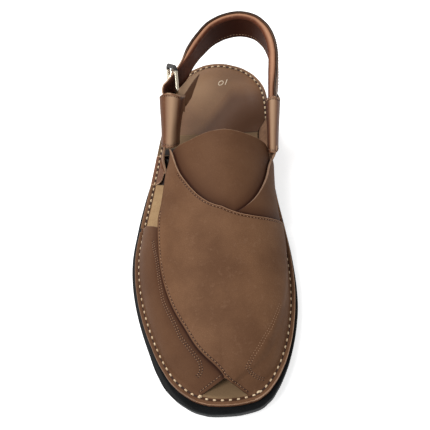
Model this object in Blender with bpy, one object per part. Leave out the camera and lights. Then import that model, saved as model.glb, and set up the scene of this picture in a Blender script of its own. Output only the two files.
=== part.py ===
"""Right-foot peshawari chappal, built at real size in metres.

The shoe is laid out in its own frame first and set on the ground afterwards:
  x  millimetres across, lateral (little-toe) side negative, medial positive
  s  millimetres from the heel end of the welt seam towards the toe
  z  millimetres above the top of the midsole
place() turns that frame into the world: toe towards -Y, heel +Y, up +Z, the
origin under the middle of the bounding box.
"""
import math

import bmesh
import bpy
import numpy as np
from mathutils import Matrix, Vector

MM = 0.001
GAP = 0.3              # air left between neighbouring pieces

# ---- how the shoe sits on the ground -------------------------------------
HEEL_PITCH = math.radians(2.33)   # heel stands higher than the ball
BALL_S = 200.0                    # station over the ball of the foot
BALL_HEIGHT = 16.8                # midsole top above the ground at the ball
CENTRE = (-1.6, 50.45)            # middle of the bounding box, x and y

# ---- toe spring of everything above the outsole ---------------------------
SPRING_FROM = 194.0
SPRING_RUN = 96.0
SPRING_RISE = 8.2

# ---- welt seam in plan: station s, lateral x, medial x ---------------------
SEAM = [
    (3.4, -9.0, 10.0), (7.0, -17.0, 19.0), (12.0, -23.5, 26.5),
    (19.0, -29.5, 33.0), (27.0, -33.5, 37.5), (40.0, -36.5, 40.5),
    (58.0, -38.5, 41.5), (80.0, -42.0, 41.3), (106.0, -45.5, 41.0),
    (134.0, -49.5, 43.8), (158.0, -53.3, 48.0), (185.0, -56.0, 52.0),
    (208.0, -54.0, 53.5), (231.0, -48.5, 52.3), (251.0, -41.0, 48.8),
    (268.0, -32.5, 43.0), (279.0, -24.5, 36.8), (285.5, -16.5, 31.0),
    (289.3, -9.5, 24.0), (291.0, -3.5, 16.0)]
SEAM_HEEL = (2.2, 0.5)            # s, x of the heel end
SEAM_TOE = (291.6, 6.0)           # s, x of the toe end
ROWS = 46                         # ladder rows of every sole layer
ROWS_ROUND = 0.85                 # how strongly the rows crowd at the ends

WALL_INSET = 2.4                  # foot of the upper inside the seam
RIM = 3.0                         # welt outside the seam
LEATHER = 1.7                     # one layer of upper leather
OVERLAP = 0.2                     # bite of the outer panel into the under one

MIDSOLE_THICK = 4.0
INSOLE_THICK = 1.7
TOE_TUCK = (262.0, 284.0)         # stations where the insole edge draws in
TOE_TUCK_IN = 5.5
NOTCH_S = 290.0                   # past it the insole shows out to the rim
# outsole: how far its edge stands outside the seam, by station
SOLE_EDGE = [(0.0, 2.6, 2.6), (40.0, 2.8, 2.8), (90.0, 3.6, 3.4),
             (130.0, 4.6, 4.2), (200.0, 5.2, 4.2), (250.0, 6.4, 4.4),
             (280.0, 8.3, 6.0), (292.0, 8.2, 7.8)]
# outsole underside: height above the ground by station
SOLE_UNDER = [(-6.0, 2.2), (2.0, 0.7), (9.0, 0.0), (74.0, 0.0), (86.0, 1.4),
              (112.0, 2.6), (138.0, 1.4), (150.0, 0.0), (212.0, 0.0),
              (232.0, 0.6), (255.0, 2.2), (275.0, 4.4), (300.0, 8.0)]
GROOVE_WIDE = 2.6
GROOVE_DEEP = 1.6
GROOVES = [20.0, 34.0, 48.0, 62.0, 160.0, 174.0, 188.0, 202.0, 218.0, 234.0,
           250.0, 266.0]

# ---- the shape of the foot space under the upper ---------------------------
# One row is one section across the foot, running aslant from u = 0 at the
# throat to u = 1 at the toe.  Columns:
#   u, s at the lateral foot, s at the medial foot, s at the crest,
#   crest x, crest z, sideways tilt of the crest,
#   lateral wall: rise, reach, outward bulge;  medial wall: the same three
CREST_S, CREST_X, CREST_Z, CREST_TILT = 2, 3, 4, 5
FOOT_S = {-1: 0, 1: 1}            # column of the wall foot, by side
WALL_SHAPE = {-1: 6, 1: 9}        # first column of rise, reach, bulge
LAST = [
    (0.00, 96.0, 98.0, 90.0, 12.0, 62.0, .10, .55, .45, 2.0, .50, .50, 20.0),
    (0.12, 112.0, 114.0, 108.0, 11.0, 57.0, .08, .55, .45, 2.0, .50, .50, 18.0),
    (0.30, 140.0, 142.0, 137.0, 10.0, 50.5, .06, .55, .50, 2.0, .52, .52, 10.0),
    (0.48, 168.0, 172.0, 167.0, 9.0, 45.0, .04, .55, .52, 1.5, .55, .55, 3.5),
    (0.66, 202.0, 204.0, 200.0, 7.0, 38.0, .03, .55, .55, 0.5, .58, .58, 0.5),
    (0.84, 243.0, 248.0, 242.0, 6.0, 29.0, .02, .58, .58, 0.0, .60, .58, 0.0),
    (0.93, 271.0, 274.0, 262.0, 6.5, 23.0, .01, .52, .52, 0.0, .52, .52, 0.0),
    (1.00, 289.4, 289.7, 278.6, 7.8, 17.0, .00, .33, .12, 0.0, .33, .12, 0.0)]
FILLET = (0.88, 1.12)             # where the wall turns out into the welt
LEAN_FROM = 0.90                  # towards the toe edge the wall leans inwards
LEAN = 0.33                       # until it runs straight from foot to crest

# ---- panel outlines on that surface, as (u, w) -----------------------------
# w runs from -1 at the lateral foot over the crest (0) to +1 medial;
# 1.2 is the outer edge of the welt
OUTER_FREE = [(0.15, -0.575), (0.22, -0.575), (0.32, -0.545), (0.45, -0.53),
              (0.58, -0.50), (0.70, -0.47), (0.80, -0.40), (0.87, -0.31),
              (0.93, -0.22), (0.97, -0.13), (1.00, -0.02)]
OUTER_THROAT = [(0.15, -0.575), (0.19, -0.51), (0.25, -0.44), (0.31, -0.365),
                (0.36, -0.30), (0.42, -0.19), (0.465, -0.09), (0.49, 0.03),
                (0.502, 0.16), (0.50, 0.30), (0.485, 0.48), (0.455, 0.72),
                (0.42, 0.95), (0.40, 1.20)]
UNDER_REAR = [(0.440, -1.20), (0.445, -0.95), (0.465, -0.76), (0.495, -0.61),
              (0.52, -0.50), (0.535, -0.25), (0.525, 0.02), (0.495, 0.15)]
UNDER_THROAT = [(0.495, 0.15), (0.462, 0.25), (0.415, 0.36), (0.35, 0.47),
                (0.26, 0.585), (0.19, 0.64), (0.14, 0.70)]
UNDER_HIDDEN = [(0.14, 0.70), (0.16, 0.80), (0.24, 0.86), (0.38, 0.86),
                (0.55, 0.78), (0.72, 0.66), (0.86, 0.50), (1.00, 0.30)]
TONGUE_TOP = [(0.160, -0.53), (0.155, -0.44), (0.150, -0.32), (0.143, -0.18),
              (0.132, 0.0), (0.120, 0.16), (0.106, 0.32), (0.100, 0.44),
              (0.106, 0.54), (0.125, 0.62)]
TONGUE_FRONT = [(0.175, -0.56), (0.28, -0.46), (0.42, -0.30), (0.53, -0.12),
                (0.57, 0.06), (0.53, 0.28), (0.42, 0.48), (0.28, 0.60),
                (0.16, 0.68)]

# ---- side loops and heel strap ----------------------------------------------
# centre line of each sleeve (x, s, z) from its top mouth to its hem
SLEEVE_LAT = [(-28.0, 76.5, 55.5), (-32.0, 103.5, 28.5)]
SLEEVE_MED = [(48.0, 77.0, 50.0), (46.0, 105.0, 21.0)]
SLEEVE_WALL = 1.5
BAND_WIDE = 22.0
BAND_THICK = 5.0
TAIL_THICK = 2.0
# heel strap centre line between the two sleeves, lateral to medial
STRAP = [(-27.0, 70.5, 60.0), (-23.4, 63.5, 61.0), (-19.4, 56.0, 60.5),
         (-14.3, 43.3, 59.2), (-7.5, 28.0, 57.2), (1.5, 15.0, 56.6),
         (12.0, 8.8, 56.9), (24.0, 7.2, 57.4), (35.0, 12.0, 58.0), (43.0, 22.0, 58.7),
         (48.0, 35.0, 59.5), (50.0, 50.0, 60.0), (49.5, 64.0, 57.5)]
TAIL = [(-18.8, 74.3, 54.5), (-16.3, 65.5, 52.0), (-12.0, 54.5, 47.0),
        (-7.0, 43.5, 41.5)]
# buckle: frame centre, half length along the strap, half width across it
BUCKLE_AT = (-23.4, 62.8, 59.4)
BUCKLE_ALONG = (0.08, 0.79, -0.61)
BUCKLE_HALF = (9.4, 14.6)
BUCKLE_WIRE = 1.2
PRONG = [(-26.6, 53.4, 61.0), (-29.4, 66.2, 60.6)]
LOOP_FOOT_LAT = (92.8, 119.6)     # stations the lateral loop is sewn down at
LOOP_FOOT_MED = (92.4, 118.4)
LOOP_THICK = 1.9
LOOP_INSET = 6.4                  # wall foot of the loops inside the seam

# ---- materials: base colour (linear), roughness, metallic -------------------
LEATHER_BROWN = (0.140, 0.078, 0.045)
MATERIALS = {
    "outsole": ((0.006, 0.007, 0.009), 0.55, 0.0),
    "midsole": ((0.030, 0.018, 0.012), 0.60, 0.0),
    "insole": ((0.320, 0.215, 0.125), 0.60, 0.0),
    "upper": (LEATHER_BROWN, 0.48, 0.0),
    "tongue": (LEATHER_BROWN, 0.48, 0.0),
    "side_loop_lateral": (LEATHER_BROWN, 0.42, 0.0),
    "side_loop_medial": (LEATHER_BROWN, 0.42, 0.0),
    "heel_strap": ((0.330, 0.150, 0.070), 0.42, 0.0),
    "strap_tail": (LEATHER_BROWN, 0.45, 0.0),
    "buckle_frame": ((0.640, 0.540, 0.360), 0.28, 1.0),
    "buckle_prong": ((0.640, 0.540, 0.360), 0.28, 1.0)}
SHARP_ANGLE = math.radians(35)


# ------------------------------------------------------------------ helpers
def curve(rows, key):
    """Smooth curve through the rows of a table, keyed by its first column."""
    tab = np.asarray(rows, float)
    k = tab[:, 0]
    u = np.clip(np.asarray(key, float), k[0], k[-1])
    i = np.clip(np.searchsorted(k, u, side="right") - 1, 0, len(k) - 2)
    m = np.gradient(tab[:, 1:], k, axis=0)
    h = k[i + 1] - k[i]
    t = ((u - k[i]) / h)[..., None]
    h = h[..., None]
    return ((2 * t**3 - 3 * t * t + 1) * tab[i, 1:]
            + (t**3 - 2 * t * t + t) * h * m[i]
            + (-2 * t**3 + 3 * t * t) * tab[i + 1, 1:]
            + (t**3 - t * t) * h * m[i + 1])


def path(points, t):
    """Smooth path through points; t runs 0..1 by distance along it."""
    p = np.asarray(points, float)
    d = np.r_[0.0, np.cumsum(np.linalg.norm(np.diff(p, axis=0), axis=1))]
    return curve(np.column_stack([d / d[-1], p]), t)


def smooth(x):
    x = np.clip(x, 0.0, 1.0)
    return x * x * (3 - 2 * x)


def spring(s):
    a = np.clip((np.asarray(s, float) - SPRING_FROM) / SPRING_RUN, 0, None)
    return SPRING_RISE * a * a


def place(pts):
    """Shoe frame (x, s, z) in mm to world metres."""
    p = np.asarray(pts, float)
    ca, sa = math.cos(HEEL_PITCH), math.sin(HEEL_PITCH)
    ds = p[..., 1] - BALL_S
    y = -(ds * ca) - p[..., 2] * sa
    z = BALL_HEIGHT - ds * sa + p[..., 2] * ca
    return np.stack([p[..., 0] - CENTRE[0], y - CENTRE[1], z], -1) * MM


def unit(v):
    return v / np.maximum(np.linalg.norm(v, axis=-1, keepdims=True), 1e-9)


def add_object(name, verts, faces):
    """One closed body from world vertices and faces, faces turned outward."""
    me = bpy.data.meshes.new(name)
    me.from_pydata([tuple(v) for v in np.asarray(verts).reshape(-1, 3)], [],
                   [tuple(int(i) for i in f) for f in faces])
    bm = bmesh.new()
    bm.from_mesh(me)
    bmesh.ops.remove_doubles(bm, verts=bm.verts, dist=1e-6)
    bmesh.ops.recalc_face_normals(bm, faces=bm.faces)
    if bm.calc_volume(signed=True) < 0:
        bmesh.ops.reverse_faces(bm, faces=bm.faces)
    bm.to_mesh(me)
    bm.free()
    ob = bpy.data.objects.new(name, me)
    bpy.context.scene.collection.objects.link(ob)
    return ob


def boolean(ob, other, how):
    """Apply an exact boolean and drop the tool object."""
    mod = ob.modifiers.new(how.lower(), "BOOLEAN")
    mod.operation = how
    mod.solver = "EXACT"
    mod.object = other
    deps = bpy.context.evaluated_depsgraph_get()
    me = bpy.data.meshes.new_from_object(ob.evaluated_get(deps))
    ob.modifiers.clear()
    old = ob.data
    ob.data = me
    bpy.data.meshes.remove(old)
    bpy.data.objects.remove(other)
    return ob


# ---------------------------------------------------------------- sole layers
def seam_rows():
    """Stations of the ladder, closer together at both ends."""
    s0, s1 = SEAM_HEEL[0], SEAM_TOE[0]
    t = np.linspace(0, 1, ROWS + 2)[1:-1]
    rows = s0 + (s1 - s0) * (ROWS_ROUND * (0.5 - 0.5 * np.cos(math.pi * t))
                             + (1 - ROWS_ROUND) * t)
    ends = [s0 + 0.25 * (SEAM[0][0] - s0), s1 - 0.25 * (s1 - SEAM[-1][0])]
    return np.unique(np.r_[rows, ends])


def seam_x(s):
    """Lateral and medial x of the seam; its two ends close as round arcs."""
    s = np.asarray(s, float)
    x = curve(SEAM, s)
    for (tip_s, tip_x), row in ((SEAM_HEEL, SEAM[0]), (SEAM_TOE, SEAM[-1])):
        t = np.clip((s - tip_s) / (row[0] - tip_s), 0, None)[..., None]
        arc = tip_x + (np.array(row[1:]) - tip_x) * np.sqrt(t)
        x = np.where(t < 1, arc, x)
    return x


def seam_loop(stations):
    """Closed seam: heel tip, medial up to the toe, toe tip, lateral back.

    Returns plan points (x, s) and outward normals."""
    x = seam_x(stations)
    med = np.stack([x[:, 1], stations], -1)
    lat = np.stack([x[:, 0], stations], -1)
    loop = np.vstack([[[SEAM_HEEL[1], SEAM_HEEL[0]]], med,
                      [[SEAM_TOE[1], SEAM_TOE[0]]], lat[::-1]])
    tan = unit(np.roll(loop, -1, 0) - np.roll(loop, 1, 0))
    nor = np.stack([tan[:, 1], -tan[:, 0]], -1)
    return loop, nor


def ladder_caps(n, base):
    """Faces across one ring of 2n+2 points, row by row."""
    faces = [(base, base + 1, base + 2 * n + 1)]
    for k in range(1, n):
        faces.append((base + k, base + k + 1, base + 2 * n + 1 - k,
                      base + 2 * n + 2 - k))
    faces.append((base + n, base + n + 1, base + n + 2))
    return faces


def slab(name, stations, levels):
    """Closed body stacked from rings; each level is (offsets, world z or
    shoe z as a function of the ring points)."""
    loop, nor = seam_loop(stations)
    n = len(stations)
    m = len(loop)
    rings = []
    for off, height in levels:
        d = off(loop) if callable(off) else np.full(m, float(off))
        q = loop + nor * d[:, None]
        rings.append(height(q))
    verts = np.vstack(rings)
    faces = []
    for k in range(len(levels) - 1):
        a, b = k * m, (k + 1) * m
        faces += [(a + i, a + (i + 1) % m, b + (i + 1) % m, b + i)
                  for i in range(m)]
    faces += [f[::-1] for f in ladder_caps(n, 0)]
    faces += ladder_caps(n, (len(levels) - 1) * m)
    return add_object(name, verts, faces)


def at_z(dz):
    """Height function: dz above the sprung midsole top."""
    return lambda q: place(np.column_stack([q, spring(q[:, 1]) + dz]))


def sole_edge(loop):
    tab = curve(SOLE_EDGE, loop[:, 1])
    return np.where(loop[:, 0] < 2.0, tab[:, 0], tab[:, 1])


def under_z(s):
    tab = np.asarray(SOLE_UNDER, float)
    return np.interp(s, tab[:, 0], tab[:, 1])


def make_outsole():
    stations = np.unique(np.r_[seam_rows(), [9.0, 74.0, 150.0, 212.0]])
    drop = -(MIDSOLE_THICK + GAP)

    def between(f, extra=0.0):
        """f=0 on the underside, f=1 at the top lip."""
        def height(q):
            top = place(np.column_stack([q, spring(q[:, 1]) + drop]))
            low = top.copy()
            low[:, 2] = under_z(q[:, 1]) * MM
            out = low + (top - low) * f
            out[:, 2] += extra * MM
            return out
        return height

    levels = [
        (lambda l: sole_edge(l) - 1.6, between(0.0)),
        (lambda l: sole_edge(l) - 0.6, between(0.0, 1.0)),
        (lambda l: sole_edge(l) - 0.4, between(0.75)),
        (lambda l: sole_edge(l), between(0.82)),
        (lambda l: sole_edge(l), between(1.0, -0.5)),
        (lambda l: sole_edge(l) - 0.5, between(1.0))]
    ob = slab("outsole", stations, levels)
    # tread grooves: one tool body of separate bars
    verts, faces = [], []
    for s in GROOVES:
        y = place(np.array([0.0, s, 0.0]))[1]
        z = under_z(s) * MM
        h = GROOVE_WIDE * 0.5 * MM
        b = len(verts)
        for dx in (-0.08, 0.08):
            verts += [(dx, y - h, z - 0.004), (dx, y + h, z - 0.004),
                      (dx, y + 0.7 * h, z + GROOVE_DEEP * MM),
                      (dx, y - 0.7 * h, z + GROOVE_DEEP * MM)]
        faces += [(b, b + 1, b + 2, b + 3), (b + 7, b + 6, b + 5, b + 4)]
        faces += [(b + i, b + 4 + i, b + 4 + (i + 1) % 4, b + (i + 1) % 4)
                  for i in range(4)]
    tool = add_object("groove_bars", verts, faces)
    return boolean(ob, tool, "DIFFERENCE")


def make_midsole():
    return slab("midsole", seam_rows(), [
        (RIM - 0.3, at_z(-MIDSOLE_THICK)), (RIM, at_z(-MIDSOLE_THICK + 0.5)),
        (RIM, at_z(-0.5)), (RIM - 0.3, at_z(0.0))])


def insole_edge(loop):
    """Out to the rim where the welt is bare, inside the wall elsewhere."""
    x, s = loop[:, 0], loop[:, 1]
    inner = -(WALL_INSET + 1.0)
    loop_in = -(LOOP_INSET + 0.5)
    lat = np.where((s < 91.7) | ((s > 120.9) & (s < 158.0)), RIM,
                   np.where(s < 122.0, loop_in, inner))
    med = np.where((s < 91.2) | ((s > 119.7) & (s < 154.0)), RIM,
                   np.where(s < 122.0, loop_in, inner))
    d = np.where(x < 6.0, lat, med)
    # the walls lean in over the insole as they near the toe notch
    d = np.where(s > TOE_TUCK[0], d - TOE_TUCK_IN * smooth(
        (s - TOE_TUCK[0]) / (TOE_TUCK[1] - TOE_TUCK[0])), d)
    return np.where(s > NOTCH_S, RIM, d)


def make_insole():
    steps = np.array([91.0, 91.4, 91.9, 119.5, 119.9, 120.5, 121.3, 122.2,
                      153.6, 154.4, 157.6, 158.4, NOTCH_S - 0.1, NOTCH_S + 0.1])
    stations = seam_rows()
    keep = [s for s in stations if np.min(np.abs(steps - s)) > 1.5]
    stations = np.unique(np.r_[keep, steps])
    return slab("insole", stations, [
        (insole_edge, at_z(GAP)), (insole_edge, at_z(GAP + INSOLE_THICK))])


# ---------------------------------------------------------------- upper sheets
def side_foot(s, side):
    """Foot of the wall (x, s) and the outward direction at a station."""
    st = np.linspace(SEAM_HEEL[0] + 1.0, SEAM_TOE[0] - 0.8, 240)
    xs = seam_x(st)[:, 0 if side < 0 else 1]
    q = np.stack([xs, st], -1)
    tan = unit(np.gradient(q, axis=0))
    nor = np.stack([tan[:, 1], -tan[:, 0]], -1) * (1.0 if side > 0 else -1.0)
    x = np.interp(s, st, xs)
    n = unit(np.stack([np.interp(s, st, nor[:, 0]),
                       np.interp(s, st, nor[:, 1])], -1))
    return np.stack([x, s], -1) - n * WALL_INSET, n


def last_surface(u, w):
    """Point of the inner face of the upper at (u, w), shoe frame."""
    u, w = np.broadcast_arrays(np.asarray(u, float), np.asarray(w, float))
    tab = curve(LAST, u)
    crest = np.stack([tab[..., CREST_X], tab[..., CREST_S], tab[..., CREST_Z]], -1)
    out = np.zeros(u.shape + (3,))
    a = np.abs(w)
    for side in (-1, 1):
        first = WALL_SHAPE[side]
        rise, reach, bulge = (tab[..., first + k] for k in range(3))
        base, n = side_foot(tab[..., FOOT_S[side]], side)
        foot_s = base[..., 1]
        p0 = np.concatenate([base, (spring(foot_s) + GAP)[..., None]], -1)
        n3 = np.concatenate([n, np.zeros(n.shape[:-1] + (1,))], -1)
        up = crest[..., 2] - p0[..., 2]
        p1 = p0 + n3 * bulge[..., None]
        p1[..., 2] += rise * up
        d = p0 - crest
        lean = LEAN * smooth((u - LEAN_FROM) / (1 - LEAN_FROM))
        p1[..., :2] -= lean[..., None] * d[..., :2]
        p2 = crest + np.stack([reach * d[..., 0], reach * d[..., 1],
                               -tab[..., CREST_TILT] * reach * d[..., 0]], -1)

        def wall(v):
            t = np.clip(1 - v, 0, 1)[..., None]
            q = ((1 - t)**3 * p0 + 3 * (1 - t)**2 * t * p1
                 + 3 * (1 - t) * t * t * p2 + t**3 * crest)
            f = np.clip((v - 1) / 0.2, 0, 1) * (WALL_INSET + RIM)
            q = q + n3 * f[..., None]
            # the welt follows the toe spring out to its edge
            q[..., 2] += spring(foot_s + n[..., 1] * f) - spring(foot_s)
            return q

        lo, hi = FILLET
        t = np.clip((a - lo) / (hi - lo), 0, 1)[..., None]
        turn = ((1 - t)**2 * wall(np.full_like(a, lo)) + 2 * (1 - t) * t * p0
                + t * t * wall(np.full_like(a, hi)))
        q = np.where(((a > lo) & (a < hi))[..., None], turn, wall(a))
        pick = (w < 0) if side < 0 else (w >= 0)
        out = np.where(pick[..., None], q, out)
    return out


def last_normal(u, w):
    e = 0.004
    uu, ww = np.clip(u, e, 1 - e), np.clip(w, -1.19, 1.19)
    du = last_surface(uu + e, ww) - last_surface(uu - e, ww)
    dw = last_surface(uu, ww + e) - last_surface(uu, ww - e)
    return unit(np.cross(dw, du))


def coons(rear, front, lat, med, n, m):
    """(u, w) grid between four outline paths; spacing chosen by n and m."""
    a = np.linspace(0, 1, n)[:, None, None]      # rear to front
    b = np.linspace(0, 1, m)[None, :, None]      # lateral to medial
    r = path(rear, np.linspace(0, 1, m))[None]
    f = path(front, np.linspace(0, 1, m))[None]
    l = path(lat, np.linspace(0, 1, n))[:, None]
    d = path(med, np.linspace(0, 1, n))[:, None]
    c = ((1 - a) * (1 - b) * r[:, :1] + (1 - a) * b * r[:, -1:]
         + a * (1 - b) * f[:, :1] + a * b * f[:, -1:])
    return (1 - a) * r + a * f + (1 - b) * l + b * d - c


def sheet(name, grid, low, thick):
    """Closed sheet over a (u, w) grid, from low to low+thick off the last."""
    u, w = grid[..., 0], grid[..., 1]
    p = last_surface(u, w)
    n = last_normal(u, w)
    lo = low(u, w) if callable(low) else np.full(u.shape, float(low))
    bot = place(p + n * lo[..., None])
    top = place(p + n * (lo + thick)[..., None])
    return grid_solid(name, bot, top)


def grid_solid(name, bot, top):
    n, m = bot.shape[:2]
    idx = np.arange(n * m).reshape(n, m)
    off = n * m
    faces = []
    for i in range(n - 1):
        for j in range(m - 1):
            a, b, c, d = idx[i, j], idx[i, j + 1], idx[i + 1, j + 1], idx[i + 1, j]
            faces.append((a, b, c, d))
            faces.append((a + off, d + off, c + off, b + off))
    rim = list(idx[0, :]) + list(idx[1:, -1]) + list(idx[-1, -2::-1]) \
        + list(idx[-2:0:-1, 0])
    for k, a in enumerate(rim):
        b = rim[(k + 1) % len(rim)]
        faces.append((a, a + off, b + off, b))
    verts = np.vstack([bot.reshape(-1, 3), top.reshape(-1, 3)])
    return add_object(name, verts, faces)


def under_grid():
    rear = UNDER_REAR + UNDER_THROAT[1:]
    front = [(1.0, -1.2), (1.0, -0.8), (1.0, -0.4), (1.0, 0.0), (1.0, 0.30)]
    lat = [UNDER_REAR[0], (0.65, -1.2), (0.85, -1.2), (1.0, -1.2)]
    return coons(rear, front, lat, UNDER_HIDDEN, 22, 30)


def outer_lift(u, w):
    """How far the outer panel stands off where it lies on the under panel."""
    hid = np.interp(u, [p[0] for p in UNDER_HIDDEN[1:]],
                    [p[1] for p in UNDER_HIDDEN[1:]])
    start = 0.40 - 0.25 * smooth(w / 0.15)
    return ((LEATHER - OVERLAP) * smooth((u - start) / 0.09)
            * (1 - smooth((w - hid - 0.03) / 0.16)))


def outer_grid():
    front = [(1.0, -0.02), (1.0, 0.3), (1.0, 0.6), (1.0, 0.9), (1.0, 1.2)]
    med = [(0.40, 1.2), (0.6, 1.2), (0.8, 1.2), (1.0, 1.2)]
    return coons(OUTER_THROAT, front, OUTER_FREE, med, 28, 26)


def make_upper():
    under = sheet("upper", under_grid(), 0.0, LEATHER)
    outer = sheet("outer_panel", outer_grid(), outer_lift, LEATHER)
    return boolean(under, outer, "UNION")


def make_tongue():
    lat = [TONGUE_TOP[0], TONGUE_FRONT[0]]
    med = [TONGUE_TOP[-1], TONGUE_FRONT[-1]]
    grid = coons(TONGUE_TOP, TONGUE_FRONT, lat, med, 9, 22)
    return sheet("tongue", grid, -2.15, 1.6)


# -------------------------------------------------------------- loops and strap
def band_frame(points, t):
    """Centre, width direction and outward normal along a band."""
    c = path(points, t)
    e = 1e-3
    tan = unit(path(points, np.clip(t + e, 0, 1)) - path(points, np.clip(t - e, 0, 1)))
    up = np.array([0.0, 0.0, 1.0])
    wide = unit(up - (tan @ up)[:, None] * tan)
    out = np.cross(wide, tan)
    return c, wide, unit(out), tan


def strap_points():
    """Heel strap centre line, from inside one sleeve to inside the other."""
    lt, lb = np.array(SLEEVE_LAT[0]), np.array(SLEEVE_LAT[1])
    mt, mb = np.array(SLEEVE_MED[0]), np.array(SLEEVE_MED[1])
    a = [lb + (lt - lb) * k for k in (0.25, 0.5, 0.75, 1.0)]
    b = [mt + (mb - mt) * k for k in (0.0, 0.25, 0.5, 0.75)]
    return [tuple(p) for p in a] + STRAP + [tuple(p) for p in b]


def sweep(name, centre, wide, out, section, closed=False):
    """Sweep a section (across width, along normal), one for all rows or
    one for each, with end caps."""
    sec = np.asarray(section, float)
    if sec.ndim == 2:
        sec = np.repeat(sec[None], len(centre), 0)
    k, m = len(centre), sec.shape[1]
    ring = (centre[:, None] + wide[:, None] * sec[:, :, :1]
            + out[:, None] * sec[:, :, 1:])
    verts = place(ring).reshape(-1, 3)
    faces = []
    rows = k if closed else k - 1
    for i in range(rows):
        a, b = i * m, ((i + 1) % k) * m
        faces += [(a + j, a + (j + 1) % m, b + (j + 1) % m, b + j)
                  for j in range(m)]
    if not closed:
        faces += [tuple(range(m))[::-1], tuple((k - 1) * m + j for j in range(m))]
    return add_object(name, verts, faces)


def strap_section(half_w, half_t, bead):
    """Flat band with a rolled upper edge."""
    return [(-half_w, -half_t * 0.55), (-half_w + 1.0, -half_t),
            (half_w - 4.5, -half_t), (half_w - 2.5, -half_t - bead),
            (half_w - 0.6, -half_t * 0.6), (half_w, 0.0),
            (half_w - 0.6, half_t * 0.6), (half_w - 2.5, half_t + bead),
            (half_w - 4.5, half_t), (-half_w + 1.0, half_t),
            (-half_w, half_t * 0.55)]


def make_heel_strap():
    pts = strap_points()
    t = np.linspace(0, 1, 52)
    c, wide, out, _ = band_frame(pts, t)
    # the padding ends before the buckle: the strap end is bare leather
    pad = smooth((t - 0.20) / 0.09)
    half = 1.4 + (BAND_THICK / 2 - 0.3 - 1.4) * pad
    secs = [strap_section(BAND_WIDE / 2 - 0.8 * (1 - q), h, 0.3 * q)
            for h, q in zip(half, pad)]
    return sweep("heel_strap", c, wide, out, secs)


def sleeve_frame(ends):
    top, hem = np.array(ends[0], float), np.array(ends[1], float)
    tan = unit(hem - top)
    up = np.array([0.0, 0.0, 1.0])
    wide = unit(up - (tan @ up) * tan)
    out = np.cross(wide, -tan)
    return top, hem, tan, wide, unit(out)


def capsule(half_w, half_t, n=6):
    """Flat rounded outline, anticlockwise."""
    pts = []
    for k in range(n + 1):
        a = -math.pi / 2 + math.pi * k / n
        pts.append((half_w - half_t + half_t * math.cos(a), half_t * math.sin(a)))
    for k in range(n + 1):
        a = math.pi / 2 + math.pi * k / n
        pts.append((-half_w + half_t + half_t * math.cos(a), half_t * math.sin(a)))
    return np.array(pts)


def make_loop(name, ends, foot, side, in_t, shift):
    """Side loop: a hollow flat sleeve on a leaf sewn down into the welt."""
    top, hem, tan, wide, out = sleeve_frame(ends)
    side_out = out if out[0] * side > 0 else -out
    iw, it = BAND_WIDE / 2 + 1.1, in_t / 2 + 0.6
    inner = capsule(iw, it)
    outer = capsule(iw + SLEEVE_WALL, it + SLEEVE_WALL)
    m = len(inner)
    rows = []
    centre = np.array([top + (hem - top) * k for k in np.linspace(0, 1, 6)])
    centre = centre + side_out * shift * -1.0
    for sec in (outer, inner):
        rows.append(centre[:, None] + wide * sec[None, :, :1]
                    + side_out * sec[None, :, 1:])
    k = len(centre)
    verts = np.vstack([place(r).reshape(-1, 3) for r in rows])
    faces = []
    for lay in (0, 1):
        o = lay * k * m
        for i in range(k - 1):
            a, b = o + i * m, o + (i + 1) * m
            faces += [(a + j, a + (j + 1) % m, b + (j + 1) % m, b + j)
                      for j in range(m)]
    o = k * m
    for a, b in ((0, o), ((k - 1) * m, o + (k - 1) * m)):
        faces += [(a + j, a + (j + 1) % m, b + (j + 1) % m, b + j)
                  for j in range(m)]
    tube = add_object(name, verts, faces)
    # leaf: from the welt rim in to the wall foot, then up to the hem
    v = np.linspace(0, 1, 9)
    s = foot[0] + (foot[1] - foot[0]) * v
    base, n = side_foot(s, side)
    rim = base + n * (WALL_INSET + RIM)
    base = base - n * (LOOP_INSET - WALL_INSET)
    z0 = spring(s) + GAP
    n3 = np.column_stack([n, np.zeros(len(n))])
    face = centre[-1] + side_out * (it + SLEEVE_WALL * 0.5) - tan * 5.0
    upper = face + wide * np.linspace(-1, 1, 9)[:, None] * (iw - 1.5)
    p0 = np.column_stack([base, z0])
    rows_in = [np.column_stack([rim, z0]),
               p0 + n3 * LOOP_INSET, p0 + n3 * 3.0]
    for k2 in np.linspace(0.0, 1.0, 8):
        a = p0 + n3 * 0.4 + np.array([0, 0, 2.4])
        c1 = a + np.array([0, 0, 9.0])
        c2 = upper + tan * 9.0
        q = ((1 - k2)**3 * a + 3 * (1 - k2)**2 * k2 * c1
             + 3 * (1 - k2) * k2 * k2 * c2 + k2**3 * upper)
        rows_in.append(q)
    mid = np.array(rows_in)
    du = np.gradient(mid, axis=0)
    dv = np.gradient(mid, axis=1)
    nn = unit(np.cross(du, dv))
    if (nn[5, 4] @ side_out) < 0:
        nn = -nn
    # the flange rests on its underside, the wall is thick on both faces
    low = mid.copy()
    high = mid + nn * LOOP_THICK
    leaf = grid_solid("leaf", place(low), place(high))
    return boolean(tube, leaf, "UNION")


def make_tail():
    t = np.linspace(0, 1, 10)
    c, wide, out, _ = band_frame(TAIL, t)
    h = TAIL_THICK / 2
    low = np.interp(t, [0, 0.25, 0.7, 1.0], [-7.5, -7.0, -2.5, 4.0])
    secs = [[(b, -h), (6.5, -h), (6.5, h), (b, h)] for b in low]
    return sweep("strap_tail", c, wide, out, secs)


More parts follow.
